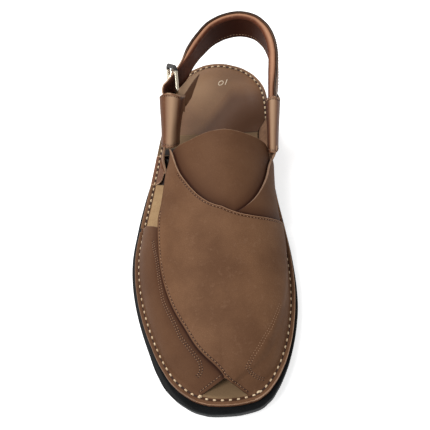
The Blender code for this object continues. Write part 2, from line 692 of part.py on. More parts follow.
def make_buckle():
    """Frame of round wire the strap threads through, and its prong."""
    tg = unit(np.array(BUCKLE_ALONG))
    wd = unit(np.cross((1.0, 0.0, 0.0), tg))
    wd = wd if wd[2] > 0 else -wd
    no = unit(np.cross(tg, wd))
    a, b = BUCKLE_HALF
    r = 3.0
    loop = []
    for cx, cy, a0 in ((a - r, b - r, 0), (-a + r, b - r, 90),
                       (-a + r, -b + r, 180), (a - r, -b + r, 270)):
        for k in range(4):
            ang = math.radians(a0 + 30 * k)
            loop.append((cx + r * math.cos(ang), cy + r * math.sin(ang)))
    loop = np.array(loop)
    centre = np.array(BUCKLE_AT) + tg * loop[:, :1] + wd * loop[:, 1:]
    tangent = unit(np.roll(centre, -1, 0) - np.roll(centre, 1, 0))
    side = np.cross(tangent, no)
    sec = BUCKLE_WIRE * np.array([(math.cos(k * math.pi / 3),
                                   math.sin(k * math.pi / 3))
                                  for k in range(6)])
    nn = np.repeat(no[None], len(centre), 0)
    frame = sweep("buckle_frame", centre, side, nn, sec, closed=True)
    q = path(PRONG, np.linspace(0, 1, 4))
    t = unit(q[-1] - q[0])
    s1 = unit(np.cross(t, wd))
    s2 = np.cross(t, s1)
    prong = sweep("buckle_prong", q, np.repeat(s1[None], 4, 0),
                  np.repeat(s2[None], 4, 0), sec * 0.75)
    return frame, prong


def dress(ob, root):
    """Give a piece its material and shading, its own origin and its parent."""
    colour, roughness, metallic = MATERIALS[ob.name]
    mat = bpy.data.materials.new(ob.name)
    mat.use_nodes = True
    shader = mat.node_tree.nodes["Principled BSDF"]
    shader.inputs["Base Color"].default_value = (*colour, 1.0)
    shader.inputs["Roughness"].default_value = roughness
    shader.inputs["Metallic"].default_value = metallic
    ob.data.materials.clear()
    ob.data.materials.append(mat)
    ob.data.shade_smooth()
    ob.data.set_sharp_from_angle(angle=SHARP_ANGLE)
    corners = [Vector(c) for c in ob.bound_box]
    middle = sum(corners, Vector()) / len(corners)
    ob.data.transform(Matrix.Translation(-middle))
    ob.location = middle
    ob.parent = root


def build():
    for ob in list(bpy.data.objects):
        bpy.data.objects.remove(ob)
    make_outsole()
    make_midsole()
    make_insole()
    make_upper()
    make_tongue()
    make_loop("side_loop_lateral", SLEEVE_LAT, LOOP_FOOT_LAT, -1,
              BAND_THICK + TAIL_THICK + 0.6, TAIL_THICK / 2 + GAP)
    make_loop("side_loop_medial", SLEEVE_MED, LOOP_FOOT_MED, 1, BAND_THICK, 0.0)
    make_heel_strap()
    make_tail()
    make_buckle()
    pieces = [ob for ob in bpy.data.objects if ob.type == "MESH"]
    root = bpy.data.objects.new("chappal_right", None)
    bpy.context.scene.collection.objects.link(root)
    for ob in pieces:
        dress(ob, root)


build()
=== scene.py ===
"""Right-foot peshawari chappal: the finished shoe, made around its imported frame.

Shapes are laid out in the shoe's own axes, in millimetres:
  x  across the shoe, lateral (little toe) side negative, medial side positive
  s  from the heel end of the welt seam towards the toe
  z  above the top of the midsole
ShoeAxes.place() turns them into the frame's metres, where the toe is towards
-Y, the heel +Y, up +Z, and the origin is on the ground under the middle.
"""
import logging
import math
from dataclasses import dataclass, field
from enum import Enum
from typing import Callable, Optional, Sequence

import bmesh
import bpy
import numpy as np
from bpy.types import Material, Mesh, Node, NodeTree, Object
from mathutils import Matrix, Vector


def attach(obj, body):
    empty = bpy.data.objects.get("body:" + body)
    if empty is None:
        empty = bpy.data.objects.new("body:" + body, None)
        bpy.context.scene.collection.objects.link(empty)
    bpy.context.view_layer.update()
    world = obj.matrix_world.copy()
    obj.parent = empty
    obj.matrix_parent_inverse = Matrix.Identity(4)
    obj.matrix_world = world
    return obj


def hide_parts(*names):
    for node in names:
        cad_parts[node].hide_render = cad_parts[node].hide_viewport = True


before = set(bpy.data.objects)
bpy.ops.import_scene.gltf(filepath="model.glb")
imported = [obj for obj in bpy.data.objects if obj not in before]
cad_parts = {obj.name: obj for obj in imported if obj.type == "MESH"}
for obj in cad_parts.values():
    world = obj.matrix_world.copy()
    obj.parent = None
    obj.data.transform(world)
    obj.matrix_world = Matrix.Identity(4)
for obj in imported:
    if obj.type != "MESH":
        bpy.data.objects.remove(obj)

Array = np.ndarray
Rows = Sequence[Sequence[float]]
Colour = tuple[float, float, float]
Socket = bpy.types.NodeSocket
Faces = list[tuple[int, ...]]
LOG = logging.getLogger("chappal")
MM = 0.001
UP = np.array([0.0, 0.0, 1.0])
FAR = 99.0  # "no edge or stitch near", in millimetres
BATCH = 4000  # points measured at a time
WELT_W = 0.2  # how far w runs past 1, over the flat welt
GROOVE_SHADE = 0.62  # how near a groove's shade draws, against a stitch row's
INK_TONE = -1.3  # tone of an inked edge


# ---- curves
def curve(rows: Rows, key: Array) -> Array:
    """Smooth curve through the rows of a table.

    Args:
        rows: table whose first column is the key, in rising order.
        key: where to read it.

    Returns:
        The other columns at each key.
    """
    tab = np.asarray(rows, float)
    k = tab[:, 0]
    u = np.clip(np.asarray(key, float), k[0], k[-1])
    i = np.clip(np.searchsorted(k, u, side="right") - 1, 0, len(k) - 2)
    m = np.gradient(tab[:, 1:], k, axis=0)
    h = k[i + 1] - k[i]
    t = ((u - k[i]) / h)[..., None]
    h = h[..., None]
    return ((2 * t**3 - 3 * t * t + 1) * tab[i, 1:]
            + (t**3 - 2 * t * t + t) * h * m[i]
            + (-2 * t**3 + 3 * t * t) * tab[i + 1, 1:]
            + (t**3 - t * t) * h * m[i + 1])


def lengths(points: Array) -> Array:
    """Distance along a line of points, starting at 0."""
    return np.r_[0.0, np.cumsum(np.linalg.norm(np.diff(points, axis=0), axis=1))]


def path(points: Rows, t: Array) -> Array:
    """Points on a smooth path; t runs 0 to 1 by distance along it.

    Args:
        points: corner points of the path.
        t: where to read it.

    Returns:
        One point at each t.
    """
    p = np.asarray(points, float)
    d = lengths(p)
    return curve(np.column_stack([d / d[-1], p]), t)


def ease(x: Array) -> Array:
    """Smooth step from 0 to 1 as x goes from 0 to 1."""
    x = np.clip(x, 0.0, 1.0)
    return x * x * (3 - 2 * x)


def between(x: Array, low: float, high: float) -> Array:
    """Whether x lies between two values."""
    return (x > low) & (x < high)


def hump(x: Array, width: float) -> Array:
    """Bell of height 1 round x = 0."""
    return np.exp(-(np.asarray(x) / width) ** 2)


def angles(count: int) -> Array:
    """Even angles once round a circle, from 0."""
    return np.arange(count) * 2 * math.pi / count


def unit(v: Array) -> Array:
    """Vectors scaled to length 1."""
    return v / np.maximum(np.linalg.norm(v, axis=-1, keepdims=True), 1e-9)


def closed_tangent(points: Array) -> Array:
    """Direction along a closed line at each of its points."""
    return unit(np.roll(points, -1, 0) - np.roll(points, 1, 0))


def evenly(points: Array, extra: Array, pitch: float) -> tuple[Array, Array]:
    """Even steps along a line.

    Args:
        points: the line, densely sampled.
        extra: a vector at each of its points, such as a normal.
        pitch: distance from one step to the next.

    Returns:
        The stepped points, and the vectors there.
    """
    d = lengths(points)
    count = max(2, int(round(d[-1] / pitch)) + 1)
    at = np.linspace(0, d[-1], count)
    pick = [np.interp(at, d, points[:, k]) for k in range(3)]
    vec = [np.interp(at, d, extra[:, k]) for k in range(3)]
    return np.stack(pick, -1), unit(np.stack(vec, -1))


def nearest(points: Array, line: Array) -> Array:
    """Distance from each point to the closest vertex of a dense line.

    Args:
        points: of any leading shape.
        line: the line's vertices.

    Returns:
        One distance per point.
    """
    flat = points.reshape(-1, 3).astype(np.float32)
    line = line.astype(np.float32)
    out = np.empty(len(flat), np.float32)
    for a in range(0, len(flat), BATCH):
        d = flat[a:a + BATCH, None] - line[None]
        out[a:a + BATCH] = np.sqrt((d * d).sum(-1)).min(1)
    return out.reshape(points.shape[:-1])


# ---- shoe and last
class Side(Enum):
    """The two sides of the shoe, by the sign of x."""

    LATERAL = -1
    MEDIAL = 1

    @property
    def column(self) -> int:
        """Its column in a table of lateral and medial values."""
        return 0 if self is Side.LATERAL else 1


@dataclass(frozen=True)
class ShoeAxes:
    """How the shoe's own axes lie in the frame."""

    heel_pitch: float = math.radians(2.33)
    ball_s: float = 200.0
    ball_height: float = 16.8
    centre_x: float = -1.6
    centre_y: float = 50.45

    def place(self, points: Array) -> Array:
        """Shoe points (x, s, z) in millimetres to frame points in metres.

        Args:
            points: (x, s, z), of any leading shape.

        Returns:
            The same points as (x, y, z).
        """
        p = np.asarray(points, float)
        ca, sa = math.cos(self.heel_pitch), math.sin(self.heel_pitch)
        ds = p[..., 1] - self.ball_s
        y = -(ds * ca) - p[..., 2] * sa
        z = self.ball_height - ds * sa + p[..., 2] * ca
        return np.stack([p[..., 0] - self.centre_x, y - self.centre_y, z], -1) * MM


AXES = ShoeAxes()


@dataclass(frozen=True)
class Seam:
    """Welt seam in plan, with the toe spring of everything above the outsole."""

    spring_from: float = 194.0
    spring_run: float = 96.0
    spring_rise: float = 8.2
    heel: tuple[float, float] = (2.2, 0.5)  # s, x of the heel end
    toe: tuple[float, float] = (291.6, 6.0)  # s, x of the toe end
    wall_inset: float = 2.4  # wall foot inside the seam
    rim: float = 3.0  # welt outside the seam
    # station s, lateral x, medial x
    table: tuple = (
        (3.4, -9, 10), (7, -17, 19), (12, -23.5, 26.5),
        (19, -29.5, 33), (27, -33.5, 37.5), (40, -36.5, 40.5),
        (58, -38.5, 41.5), (80, -42, 41.3), (106, -45.5, 41),
        (134, -49.5, 43.8), (158, -53.3, 48), (185, -56, 52),
        (208, -54, 53.5), (231, -48.5, 52.3), (251, -41, 48.8),
        (268, -32.5, 43), (279, -24.5, 36.8), (285.5, -16.5, 31),
        (289.3, -9.5, 24), (291, -3.5, 16))

    def spring(self, s: Array) -> Array:
        """Rise of the toe at station s."""
        a = np.clip((np.asarray(s, float) - self.spring_from) / self.spring_run, 0, None)
        return self.spring_rise * a * a

    def across(self, s: Array) -> Array:
        """Lateral and medial x at station s; both ends close as round arcs.

        Args:
            s: stations.

        Returns:
            Two columns: lateral x, medial x.
        """
        s = np.asarray(s, float)
        x = curve(self.table, s)
        for (tip_s, tip_x), row in ((self.heel, self.table[0]), (self.toe, self.table[-1])):
            t = np.clip((s - tip_s) / (row[0] - tip_s), 0, None)[..., None]
            arc = tip_x + (np.array(row[1:]) - tip_x) * np.sqrt(t)
            x = np.where(t < 1, arc, x)
        return x

    def stations(self, count: int, fixed: Sequence[float] = ()) -> Array:
        """Ladder stations, crowded at both round ends, with some fixed ones.

        Args:
            count: how many, the fixed ones aside.
            fixed: stations to include.

        Returns:
            The stations in rising order.
        """
        t = np.linspace(0, 1, count + 2)[1:-1]
        rows = self.heel[0] + (self.toe[0] - self.heel[0]) * (0.5 - 0.5 * np.cos(math.pi * t))
        if len(fixed):
            gap = np.abs(rows[:, None] - np.asarray(fixed)[None]).min(1)
            rows = np.r_[rows[gap > 0.35], fixed]
        return np.unique(rows)

    def loop(self, stations: Array) -> tuple[Array, Array]:
        """Closed seam: heel tip, medial side, toe tip, lateral side.

        Args:
            stations: where both sides are read.

        Returns:
            Plan points (x, s) and outward normals.
        """
        x = self.across(stations)
        med = np.stack([x[:, 1], stations], -1)
        lat = np.stack([x[:, 0], stations], -1)
        loop = np.vstack([[[self.heel[1], self.heel[0]]], med,
                          [[self.toe[1], self.toe[0]]], lat[::-1]])
        tan = closed_tangent(loop)
        for _ in range(3):
            tan = unit(tan + 0.5 * (np.roll(tan, -1, 0) + np.roll(tan, 1, 0)))
        return loop, np.stack([tan[:, 1], -tan[:, 0]], -1)

    def foot(self, s: Array, side: Side) -> tuple[Array, Array]:
        """Foot of the wall (x, s) at a station, and the outward direction.

        Args:
            s: stations.
            side: side of the shoe.

        Returns:
            The plan points and plan directions.
        """
        st = np.linspace(self.heel[0] + 1.0, self.toe[0] - 0.8, 240)
        q = np.stack([self.across(st)[:, side.column], st], -1)
        tan = unit(np.gradient(q, axis=0))
        nor = np.stack([tan[:, 1], -tan[:, 0]], -1) * side.value
        x = np.interp(s, st, q[:, 0])
        n = unit(np.stack([np.interp(s, st, nor[:, 0]), np.interp(s, st, nor[:, 1])], -1))
        return np.stack([x, s], -1) - n * self.wall_inset, n

    @property
    def ledge(self) -> float:
        """Width of the flat welt outside the wall."""
        return self.wall_inset + self.rim

    def gap(self, plan: Array, count: int) -> Array:
        """Distance in plan from points (x, s) to the seam, read at count stations."""
        line, _ = self.loop(self.stations(count))
        return nearest(np.dstack([plan, np.zeros(plan.shape[:2])]),
                       np.column_stack([line, np.zeros(len(line))]))


SEAM = Seam()


@dataclass(frozen=True)
class Last:
    """Inner face of the upper, as a surface over (u, w).

    u runs from the throat (0) to the toe (1); w from -1 at the lateral wall
    foot over the crest (0) to +1 at the medial wall foot, and to 1.2 at the
    outer edge of the welt.  Each row of the table is one section: u, s at the
    lateral foot, medial foot and crest, crest x and z, sideways tilt, then
    rise, reach and outward bulge of the lateral wall and of the medial wall.
    """

    floor: float = 0.3
    fillet: tuple[float, float] = (0.88, 1.12)
    lean_from: float = 0.90
    lean: float = 0.33
    table: tuple = (
        (0.00, 96, 98, 90, 12, 62, .10, .55, .45, 2, .50, .50, 20),
        (0.12, 112, 114, 108, 11, 57, .08, .55, .45, 2, .50, .50, 18),
        (0.30, 140, 142, 137, 10, 50.5, .06, .55, .50, 2, .52, .52, 10),
        (0.48, 168, 172, 167, 9, 45, .04, .55, .52, 1.5, .55, .55, 3.5),
        (0.66, 202, 204, 200, 7, 38, .03, .55, .55, 0.5, .58, .58, 0.5),
        (0.84, 243, 248, 242, 6, 29, .02, .58, .58, 0, .60, .58, 0),
        (0.93, 271, 274, 262, 6.5, 23, .01, .52, .52, 0, .52, .52, 0),
        (1.00, 289.4, 289.7, 278.6, 7.8, 17, .00, .33, .12, 0, .33, .12, 0))

    def point(self, u: Array, w: Array) -> Array:
        """Point of the surface at (u, w).

        Args:
            u: place along the shoe.
            w: place across it.

        Returns:
            Points (x, s, z).
        """
        u, w = np.broadcast_arrays(np.asarray(u, float), np.asarray(w, float))
        tab = curve(self.table, u)
        crest = np.stack([tab[..., 3], tab[..., 2], tab[..., 4]], -1)
        out = np.zeros(u.shape + (3,))
        a = np.abs(w)
        for side in Side:
            rise, reach, bulge = (tab[..., 6 + 3 * side.column + k] for k in range(3))
            base, n = SEAM.foot(tab[..., side.column], side)
            foot_s = base[..., 1]
            p0 = np.concatenate([base, (SEAM.spring(foot_s) + self.floor)[..., None]], -1)
            n3 = np.concatenate([n, np.zeros(n.shape[:-1] + (1,))], -1)
            p1 = p0 + n3 * bulge[..., None]
            p1[..., 2] += rise * (crest[..., 2] - p0[..., 2])
            d = p0 - crest
            lean = self.lean * ease((u - self.lean_from) / (1 - self.lean_from))
            p1[..., :2] -= lean[..., None] * d[..., :2]
            p2 = crest + np.stack([reach * d[..., 0], reach * d[..., 1],
                                   -tab[..., 5] * reach * d[..., 0]], -1)

            def wall(v: Array) -> Array:
                """Section curve, continued outwards as the welt past v = 1."""
                t = np.clip(1 - v, 0, 1)[..., None]
                q = ((1 - t)**3 * p0 + 3 * (1 - t)**2 * t * p1
                     + 3 * (1 - t) * t * t * p2 + t**3 * crest)
                f = np.clip((v - 1) / WELT_W, 0, 1) * SEAM.ledge
                q = q + n3 * f[..., None]
                q[..., 2] += SEAM.spring(foot_s + n[..., 1] * f) - SEAM.spring(foot_s)
                return q

            lo, hi = self.fillet
            t = np.clip((a - lo) / (hi - lo), 0, 1)[..., None]
            turn = ((1 - t)**2 * wall(np.full_like(a, lo)) + 2 * (1 - t) * t * p0
                    + t * t * wall(np.full_like(a, hi)))
            q = np.where(((a > lo) & (a < hi))[..., None], turn, wall(a))
            pick = (w < 0) if side is Side.LATERAL else (w >= 0)
            out = np.where(pick[..., None], q, out)
        return out

    def normal(self, u: Array, w: Array) -> Array:
        """Outward normal of the surface at (u, w).

        Args:
            u: place along the shoe.
            w: place across it.

        Returns:
            Vectors of length 1.
        """
        e = 0.004
        uu, ww = np.clip(u, e, 1 - e), np.clip(w, -1.19, 1.19)
        du = self.point(uu + e, ww) - self.point(uu - e, ww)
        dw = self.point(uu, ww + e) - self.point(uu, ww - e)
        return unit(np.cross(dw, du))


LAST = Last()
SEAM_W = 1.0 + WELT_W * SEAM.wall_inset / SEAM.ledge  # w of the welt seam


# ---- meshes
class Shell:
    """Gathers the parts of one piece and makes its mesh at the end."""

    # tone is painted light and shade on most pieces (above 0 lighter, below 0 darker), and ink on
    # inked edges
    FIELDS = ("edge_mm", "stitch_mm", "tone")
    WELD = 2e-6  # points closer than this, in metres, join

    def __init__(self, name: str) -> None:
        """Start an empty piece of that name."""
        self.name = name
        self.points: list[Array] = []
        self.faces: Faces = []
        self.slots: list[int] = []
        self.values: dict[str, list[Array]] = {k: [] for k in self.FIELDS}
        self.count = 0

    def add(self, points: Array, faces: Sequence, slot: int | Sequence[int] = 0,
            **values: Array) -> None:
        """Add points (shoe millimetres) and faces.

        Args:
            points: an array of points, of any leading shape.
            faces: index tuples into those points.
            slot: material number, one for all faces or one each.
            **values: any of FIELDS, spread over the points.
        """
        points = np.asarray(points, float)
        flat = points.reshape(-1, 3)
        self.points.append(AXES.place(flat))
        base = self.count
        self.faces += [tuple(int(i) + base for i in f) for f in faces]
        self.slots += [slot] * len(faces) if isinstance(slot, int) else list(slot)
        for key in self.FIELDS:
            given = values.get(key, 0.0 if key == "tone" else FAR)
            self.values[key].append(np.broadcast_to(given, points.shape[:-1]).reshape(-1))
        self.count += len(flat)

    def make(self, materials: Sequence[Material], crease: float = 40.0) -> Object:
        """Build the object.

        Args:
            materials: one for each material number.
            crease: edges sharper than this many degrees stay sharp.

        Returns:
            The new object, linked to the scene.
        """
        me = bpy.data.meshes.new(self.name)
        me.from_pydata(np.vstack(self.points).tolist(), [], self.faces)
        for key in self.FIELDS:
            layer = me.attributes.new(key, "FLOAT", "POINT")
            layer.data.foreach_set("value", np.concatenate(self.values[key]).astype(np.float32))
        me.polygons.foreach_set("material_index", np.asarray(self.slots, np.int32))
        face_outwards(me, self.WELD)
        for material in materials:
            me.materials.append(material)
        me.shade_smooth()
        me.set_sharp_from_angle(angle=math.radians(crease))
        return new_object(self.name, me)


def new_object(name: str, data: bpy.types.ID) -> Object:
    """An object holding that data, linked to the scene."""
    ob = bpy.data.objects.new(name, data)
    bpy.context.scene.collection.objects.link(ob)
    return ob


def face_outwards(me: Mesh, weld: float = 0.0) -> None:
    """Turn a mesh's faces outwards.

    Args:
        me: the mesh.
        weld: points closer than this, in metres, become one first.
    """
    bm = bmesh.new()
    bm.from_mesh(me)
    if weld:
        bmesh.ops.remove_doubles(bm, verts=bm.verts, dist=weld)
    bmesh.ops.recalc_face_normals(bm, faces=bm.faces)
    bm.to_mesh(me)
    bm.free()


def grid_faces(n: int, m: int, start: int = 0, around: bool = False) -> Faces:
    """Quads over an n by m grid of points, joined side to side if around.

    Args:
        n: rows of points.
        m: points in a row.
        start: index of the first point.
        around: join each row's last point to its first.

    Returns:
        Index tuples.
    """
    idx = np.arange(n * m).reshape(n, m) + start
    if around:
        idx = np.hstack([idx, idx[:, :1]])
    quads = np.stack([idx[:-1, :-1], idx[:-1, 1:], idx[1:, 1:], idx[1:, :-1]], -1)
    return [tuple(q) for q in quads.reshape(-1, 4).tolist()]


def border(n: int, m: int) -> list[int]:
    """Indices round an n by m grid: first row, last column, last row, first column."""
    idx = np.arange(n * m).reshape(n, m)
    return (list(idx[0, :]) + list(idx[1:, -1]) + list(idx[-1, -2::-1])
            + list(idx[-2:0:-1, 0]))


def add_sheet(shell: Shell, low: Array, high: Array, up: Array, slots: tuple[int, int, int],
              round_edge: float = 0.22, cut_tone: Optional[Array] = None,
              **values: Array) -> None:
    """Closed sheet of leather between two grids, its cut edge slightly rounded.

    Args:
        shell: piece to add to.
        low: inner face, an n by m grid.
        high: outer face.
        up: outward normals of the outer face.
        slots: material numbers of outer face, inner face and cut edge.
        round_edge: how far the cut edge swells out.
        cut_tone: tone of the cut edge along the rows, when it differs.
        **values: for both faces, spread over the grid.
    """
    n, m = high.shape[:2]
    size = n * m
    ring = border(n, m)
    top, bot, up = (np.broadcast_to(face, high.shape).reshape(-1, 3)[ring]
                    for face in (high, low, up))
    side = unit(np.cross(closed_tangent(top), up))
    middle = high.reshape(-1, 3).mean(0)
    if ((top - middle) * side).sum() < 0:
        side = -side
    mids = [top + (bot - top) * f + side * round_edge for f in (0.22, 0.78)]
    points = np.vstack([high.reshape(-1, 3), low.reshape(-1, 3)] + mids)
    outer = grid_faces(n, m)
    inner = [f[::-1] for f in grid_faces(n, m, size)]
    k = len(ring)
    a, b = 2 * size, 2 * size + k
    rows = [ring, list(range(a, a + k)), list(range(b, b + k)), [r + size for r in ring]]
    edge = [(p[i], p[(i + 1) % k], q[(i + 1) % k], q[i])
            for p, q in zip(rows, rows[1:]) for i in range(k)]
    fields = {}
    for key, val in values.items():
        flat = np.broadcast_to(val, (n, m)).reshape(-1).astype(float)
        fields[key] = np.concatenate([flat, flat, flat[ring], flat[ring]])
    if "edge_mm" in fields:
        fields["edge_mm"][2 * size:] = 0.0
    if cut_tone is not None:
        fields["tone"][2 * size:] = np.tile(np.repeat(cut_tone, m)[ring], 2)
    shell.add(points, outer + inner + edge,
              [slots[0]] * len(outer) + [slots[1]] * len(inner) + [slots[2]] * len(edge), **fields)


def tube_faces(k: int, m: int, loop: bool = False) -> Faces:
    """Faces of a tube of k rings of m points, joined end to end or capped.

    Args:
        k: number of rings.
        m: points in a ring.
        loop: join the last ring to the first.

    Returns:
        Index tuples.
    """
    last = (k - 1) * m
    if loop:
        ends = [(last + j, last + (j + 1) % m, (j + 1) % m, j) for j in range(m)]
    else:
        ends = [tuple(range(m))[::-1], tuple(last + j for j in range(m))]
    return grid_faces(k, m, around=True) + ends


# ---- stitching
@dataclass(frozen=True)
class Stitch:
    """One size of stitch, in millimetres."""

    pitch: float
    length: float
    radius: float
    arch: float = 0.35
    sink: float = 0.35
    hole: float = 0.6
    rings: int = 7
    sides: int = 8


THREAD_LIFT = 0.02  # thread's stand above its row
HOLE_LIFT = 0.05  # needle hole's stand above its row
ROW_SINK = 0.12  # depth of a sewn row in a panel's face
WELT_STITCH = Stitch(pitch=5.2, length=2.6, radius=0.62, arch=0.52, sink=0.5, hole=0.98)
FINE_STITCH = Stitch(pitch=2.5, length=1.5, radius=0.21, arch=0.12, sink=0.2, hole=0.42,
                     rings=5, sides=6)
SMALL_STITCH = Stitch(pitch=1.9, length=1.0, radius=0.19, arch=0.12, sink=0.2, hole=0.40,
                      rings=5, sides=6)


def add_copies(shell: Shell, template: Array, faces: Sequence, at: Array, along: Array,
               up: Array, slot: int) -> None:
    """Copies of a small shape, each set on a point with its own axes.

    Args:
        shell: piece to add to.
        template: points of the small shape, lying along +x with +z up.
        faces: its faces.
        at: where each copy goes.
        along: each copy's +x.
        up: each copy's +z.
        slot: material number.
    """
    side = unit(np.cross(up, along))
    along = unit(np.cross(side, up))
    pts = (at[:, None] + template[None, :, :1] * along[:, None]
           + template[None, :, 1:2] * side[:, None] + template[None, :, 2:] * up[:, None])
    k = len(template)
    every = [tuple(i + c * k for i in f) for c in range(len(at)) for f in faces]
    shell.add(pts, every, slot)


def stitch_shape(kind: Stitch) -> tuple[Array, list]:
    """A stitch lying along +x, arched over z = 0 and sunk at both ends.

    Args:
        kind: stitch size.

    Returns:
        Its points and faces.
    """
    a = np.linspace(-1, 1, kind.rings)
    centre_z = kind.arch * (1 - a * a) - kind.sink * a**4
    radius = kind.radius * np.sqrt(np.clip(1.04 - a**6, 0.12, 1))
    t = angles(kind.sides)
    pts = np.stack([np.broadcast_to(a[:, None] * kind.length / 2, (kind.rings, kind.sides)),
                    radius[:, None] * np.cos(t),
                    centre_z[:, None] + radius[:, None] * np.sin(t)], -1)
    return pts.reshape(-1, 3), tube_faces(kind.rings, kind.sides)


def hole_shape(radius: float) -> tuple[Array, list]:
    """A flat dark bead of painted shade that reads as a needle hole.

    Args:
        radius: of the hole.

    Returns:
        Its points and faces.
    """
    n = 8
    t = angles(n)
    ring = np.stack([radius * 1.45 * np.cos(t), radius * 0.9 * np.sin(t), np.zeros(n)], -1)
    pts = np.vstack([ring, [[0, 0, 0.10 * radius], [0, 0, -0.9 * radius]]])
    faces = [(i, (i + 1) % n, n) for i in range(n)]
    faces += [((i + 1) % n, i, n + 1) for i in range(n)]
    return pts, faces


def sew(shell: Shell, line: Array, up: Array, kind: Stitch) -> None:
    """Sew a row of stitches along a line lying on a surface.

    Args:
        shell: piece to add to; material 0 is thread and 1 the painted shade of the holes.
        line: dense points of the row.
        up: surface normals there.
        kind: stitch size.
    """
    knots, knot_up = evenly(line, up, kind.pitch)
    at = 0.5 * (knots[1:] + knots[:-1])
    normal = unit(knot_up[1:] + knot_up[:-1])
    along = unit(knots[1:] - knots[:-1])
    add_copies(shell, *stitch_shape(kind), at + normal * THREAD_LIFT, along, normal, 0)
    tangent = unit(np.gradient(knots, axis=0))
    add_copies(shell, *hole_shape(kind.hole), knots + knot_up * HOLE_LIFT, tangent, knot_up, 1)


# ---- materials
def linear(colour: Colour) -> tuple[float, ...]:
    """A display colour, 0 to 255 a channel, as linear light with alpha."""
    return tuple((c / 255 / 12.92) if c / 255 <= 0.04045 else ((c / 255 + 0.055) / 1.055) ** 2.4
                 for c in colour) + (1.0,)


class Shade:
    """Small helper that places nodes in a tree and wires them."""

    def __init__(self, tree: NodeTree) -> None:
        """Work in that tree."""
        self.tree = tree

    def feed(self, node: Node, inputs: dict) -> None:
        """Set a node's inputs, from values or from other nodes' sockets."""
        for key, value in inputs.items():
            if isinstance(value, Socket):
                self.tree.links.new(value, node.inputs[key])
            else:
                node.inputs[key].default_value = value

    def node(self, kind: str, inputs: Optional[dict] = None, **settings: object) -> Node:
        """Place a node, set its properties, then its inputs.

        Args:
            kind: type name after "ShaderNode".
            inputs: as feed() takes them.
            **settings: properties of the node.

        Returns:
            The node.
        """
        nd = self.tree.nodes.new("ShaderNode" + kind)
        for key, value in settings.items():
            setattr(nd, key, value)
        self.feed(nd, inputs or {})
        return nd

    def group(self, tree: NodeTree, inputs: dict) -> Sequence[Socket]:
        """Place a node group and give its outputs."""
        return self.node("Group", inputs, node_tree=tree).outputs

    def math(self, how: str, a: object, b: object = 0.0, clamp: bool = False) -> Socket:
        """A Math node's result."""
        return self.node("Math", {0: a, 1: b}, operation=how, use_clamp=clamp).outputs[0]

    def times(self, a: object, b: object) -> Socket:
        """Product of two values."""
        return self.math("MULTIPLY", a, b)

    def plus(self, a: object, b: object) -> Socket:
        """Sum of two values."""
        return self.math("ADD", a, b)

    def minus(self, a: object, b: object) -> Socket:
        """Difference of two values."""
        return self.math("SUBTRACT", a, b)

    def span(self, value: object, low: float, high: float, to_low: float = 0.0,
             to_high: float = 1.0) -> Socket:
        """Map a value from one range to another, smoothly and clamped."""
        limits = {"From Min": low, "From Max": high, "To Min": to_low, "To Max": to_high}
        return self.node("MapRange", {"Value": value, **limits},
                         interpolation_type="SMOOTHSTEP").outputs["Result"]

    def mix(self, factor: object, a: Socket | Colour, b: Socket | Colour) -> Socket:
        """Mix two colours."""
        a, b = (linear(c) if isinstance(c, tuple) else c for c in (a, b))
        return self.node("Mix", {"Factor": factor, 6: a, 7: b}, data_type="RGBA").outputs[2]

    def noise(self, scale: object, detail: float = 3.0, rough: float = 0.55) -> Socket:
        """Noise value, 0 to 1, fixed to the piece."""
        return self.node("TexNoise", {"Vector": self.where(), "Scale": scale, "Detail": detail,
                                      "Roughness": rough}).outputs[0]

    def bump(self, height: Socket, strength: float, distance: float) -> Socket:
        """Normal of a surface raised by a height; distance is in metres."""
        return self.node("Bump", {"Strength": strength, "Distance": distance,
                                  "Height": height}).outputs[0]

    def where(self) -> Socket:
        """Coordinates fixed to the piece."""
        return self.node("TexCoord").outputs["Object"]

    def field(self, name: str) -> Socket:
        """A named value stored on the mesh."""
        return self.node("Attribute", attribute_name=name).outputs["Fac"]


def new_group(name: str, inputs: dict[str, float],
              outputs: Sequence[str]) -> tuple[Shade, Sequence[Socket], Node]:
    """An empty node group with named float inputs and outputs.

    Args:
        name: of the group.
        inputs: names and default values.
        outputs: names.

    Returns:
        A helper for its tree, its inputs' sockets and its output node.
    """
    tree = bpy.data.node_groups.new(name, "ShaderNodeTree")
    for key, value in inputs.items():
        sock = tree.interface.new_socket(key, in_out="INPUT", socket_type="NodeSocketFloat")
        sock.default_value = value
    for key in outputs:
        tree.interface.new_socket(key, in_out="OUTPUT", socket_type="NodeSocketFloat")
    given = tree.nodes.new("NodeGroupInput")
    return Shade(tree), given.outputs, tree.nodes.new("NodeGroupOutput")


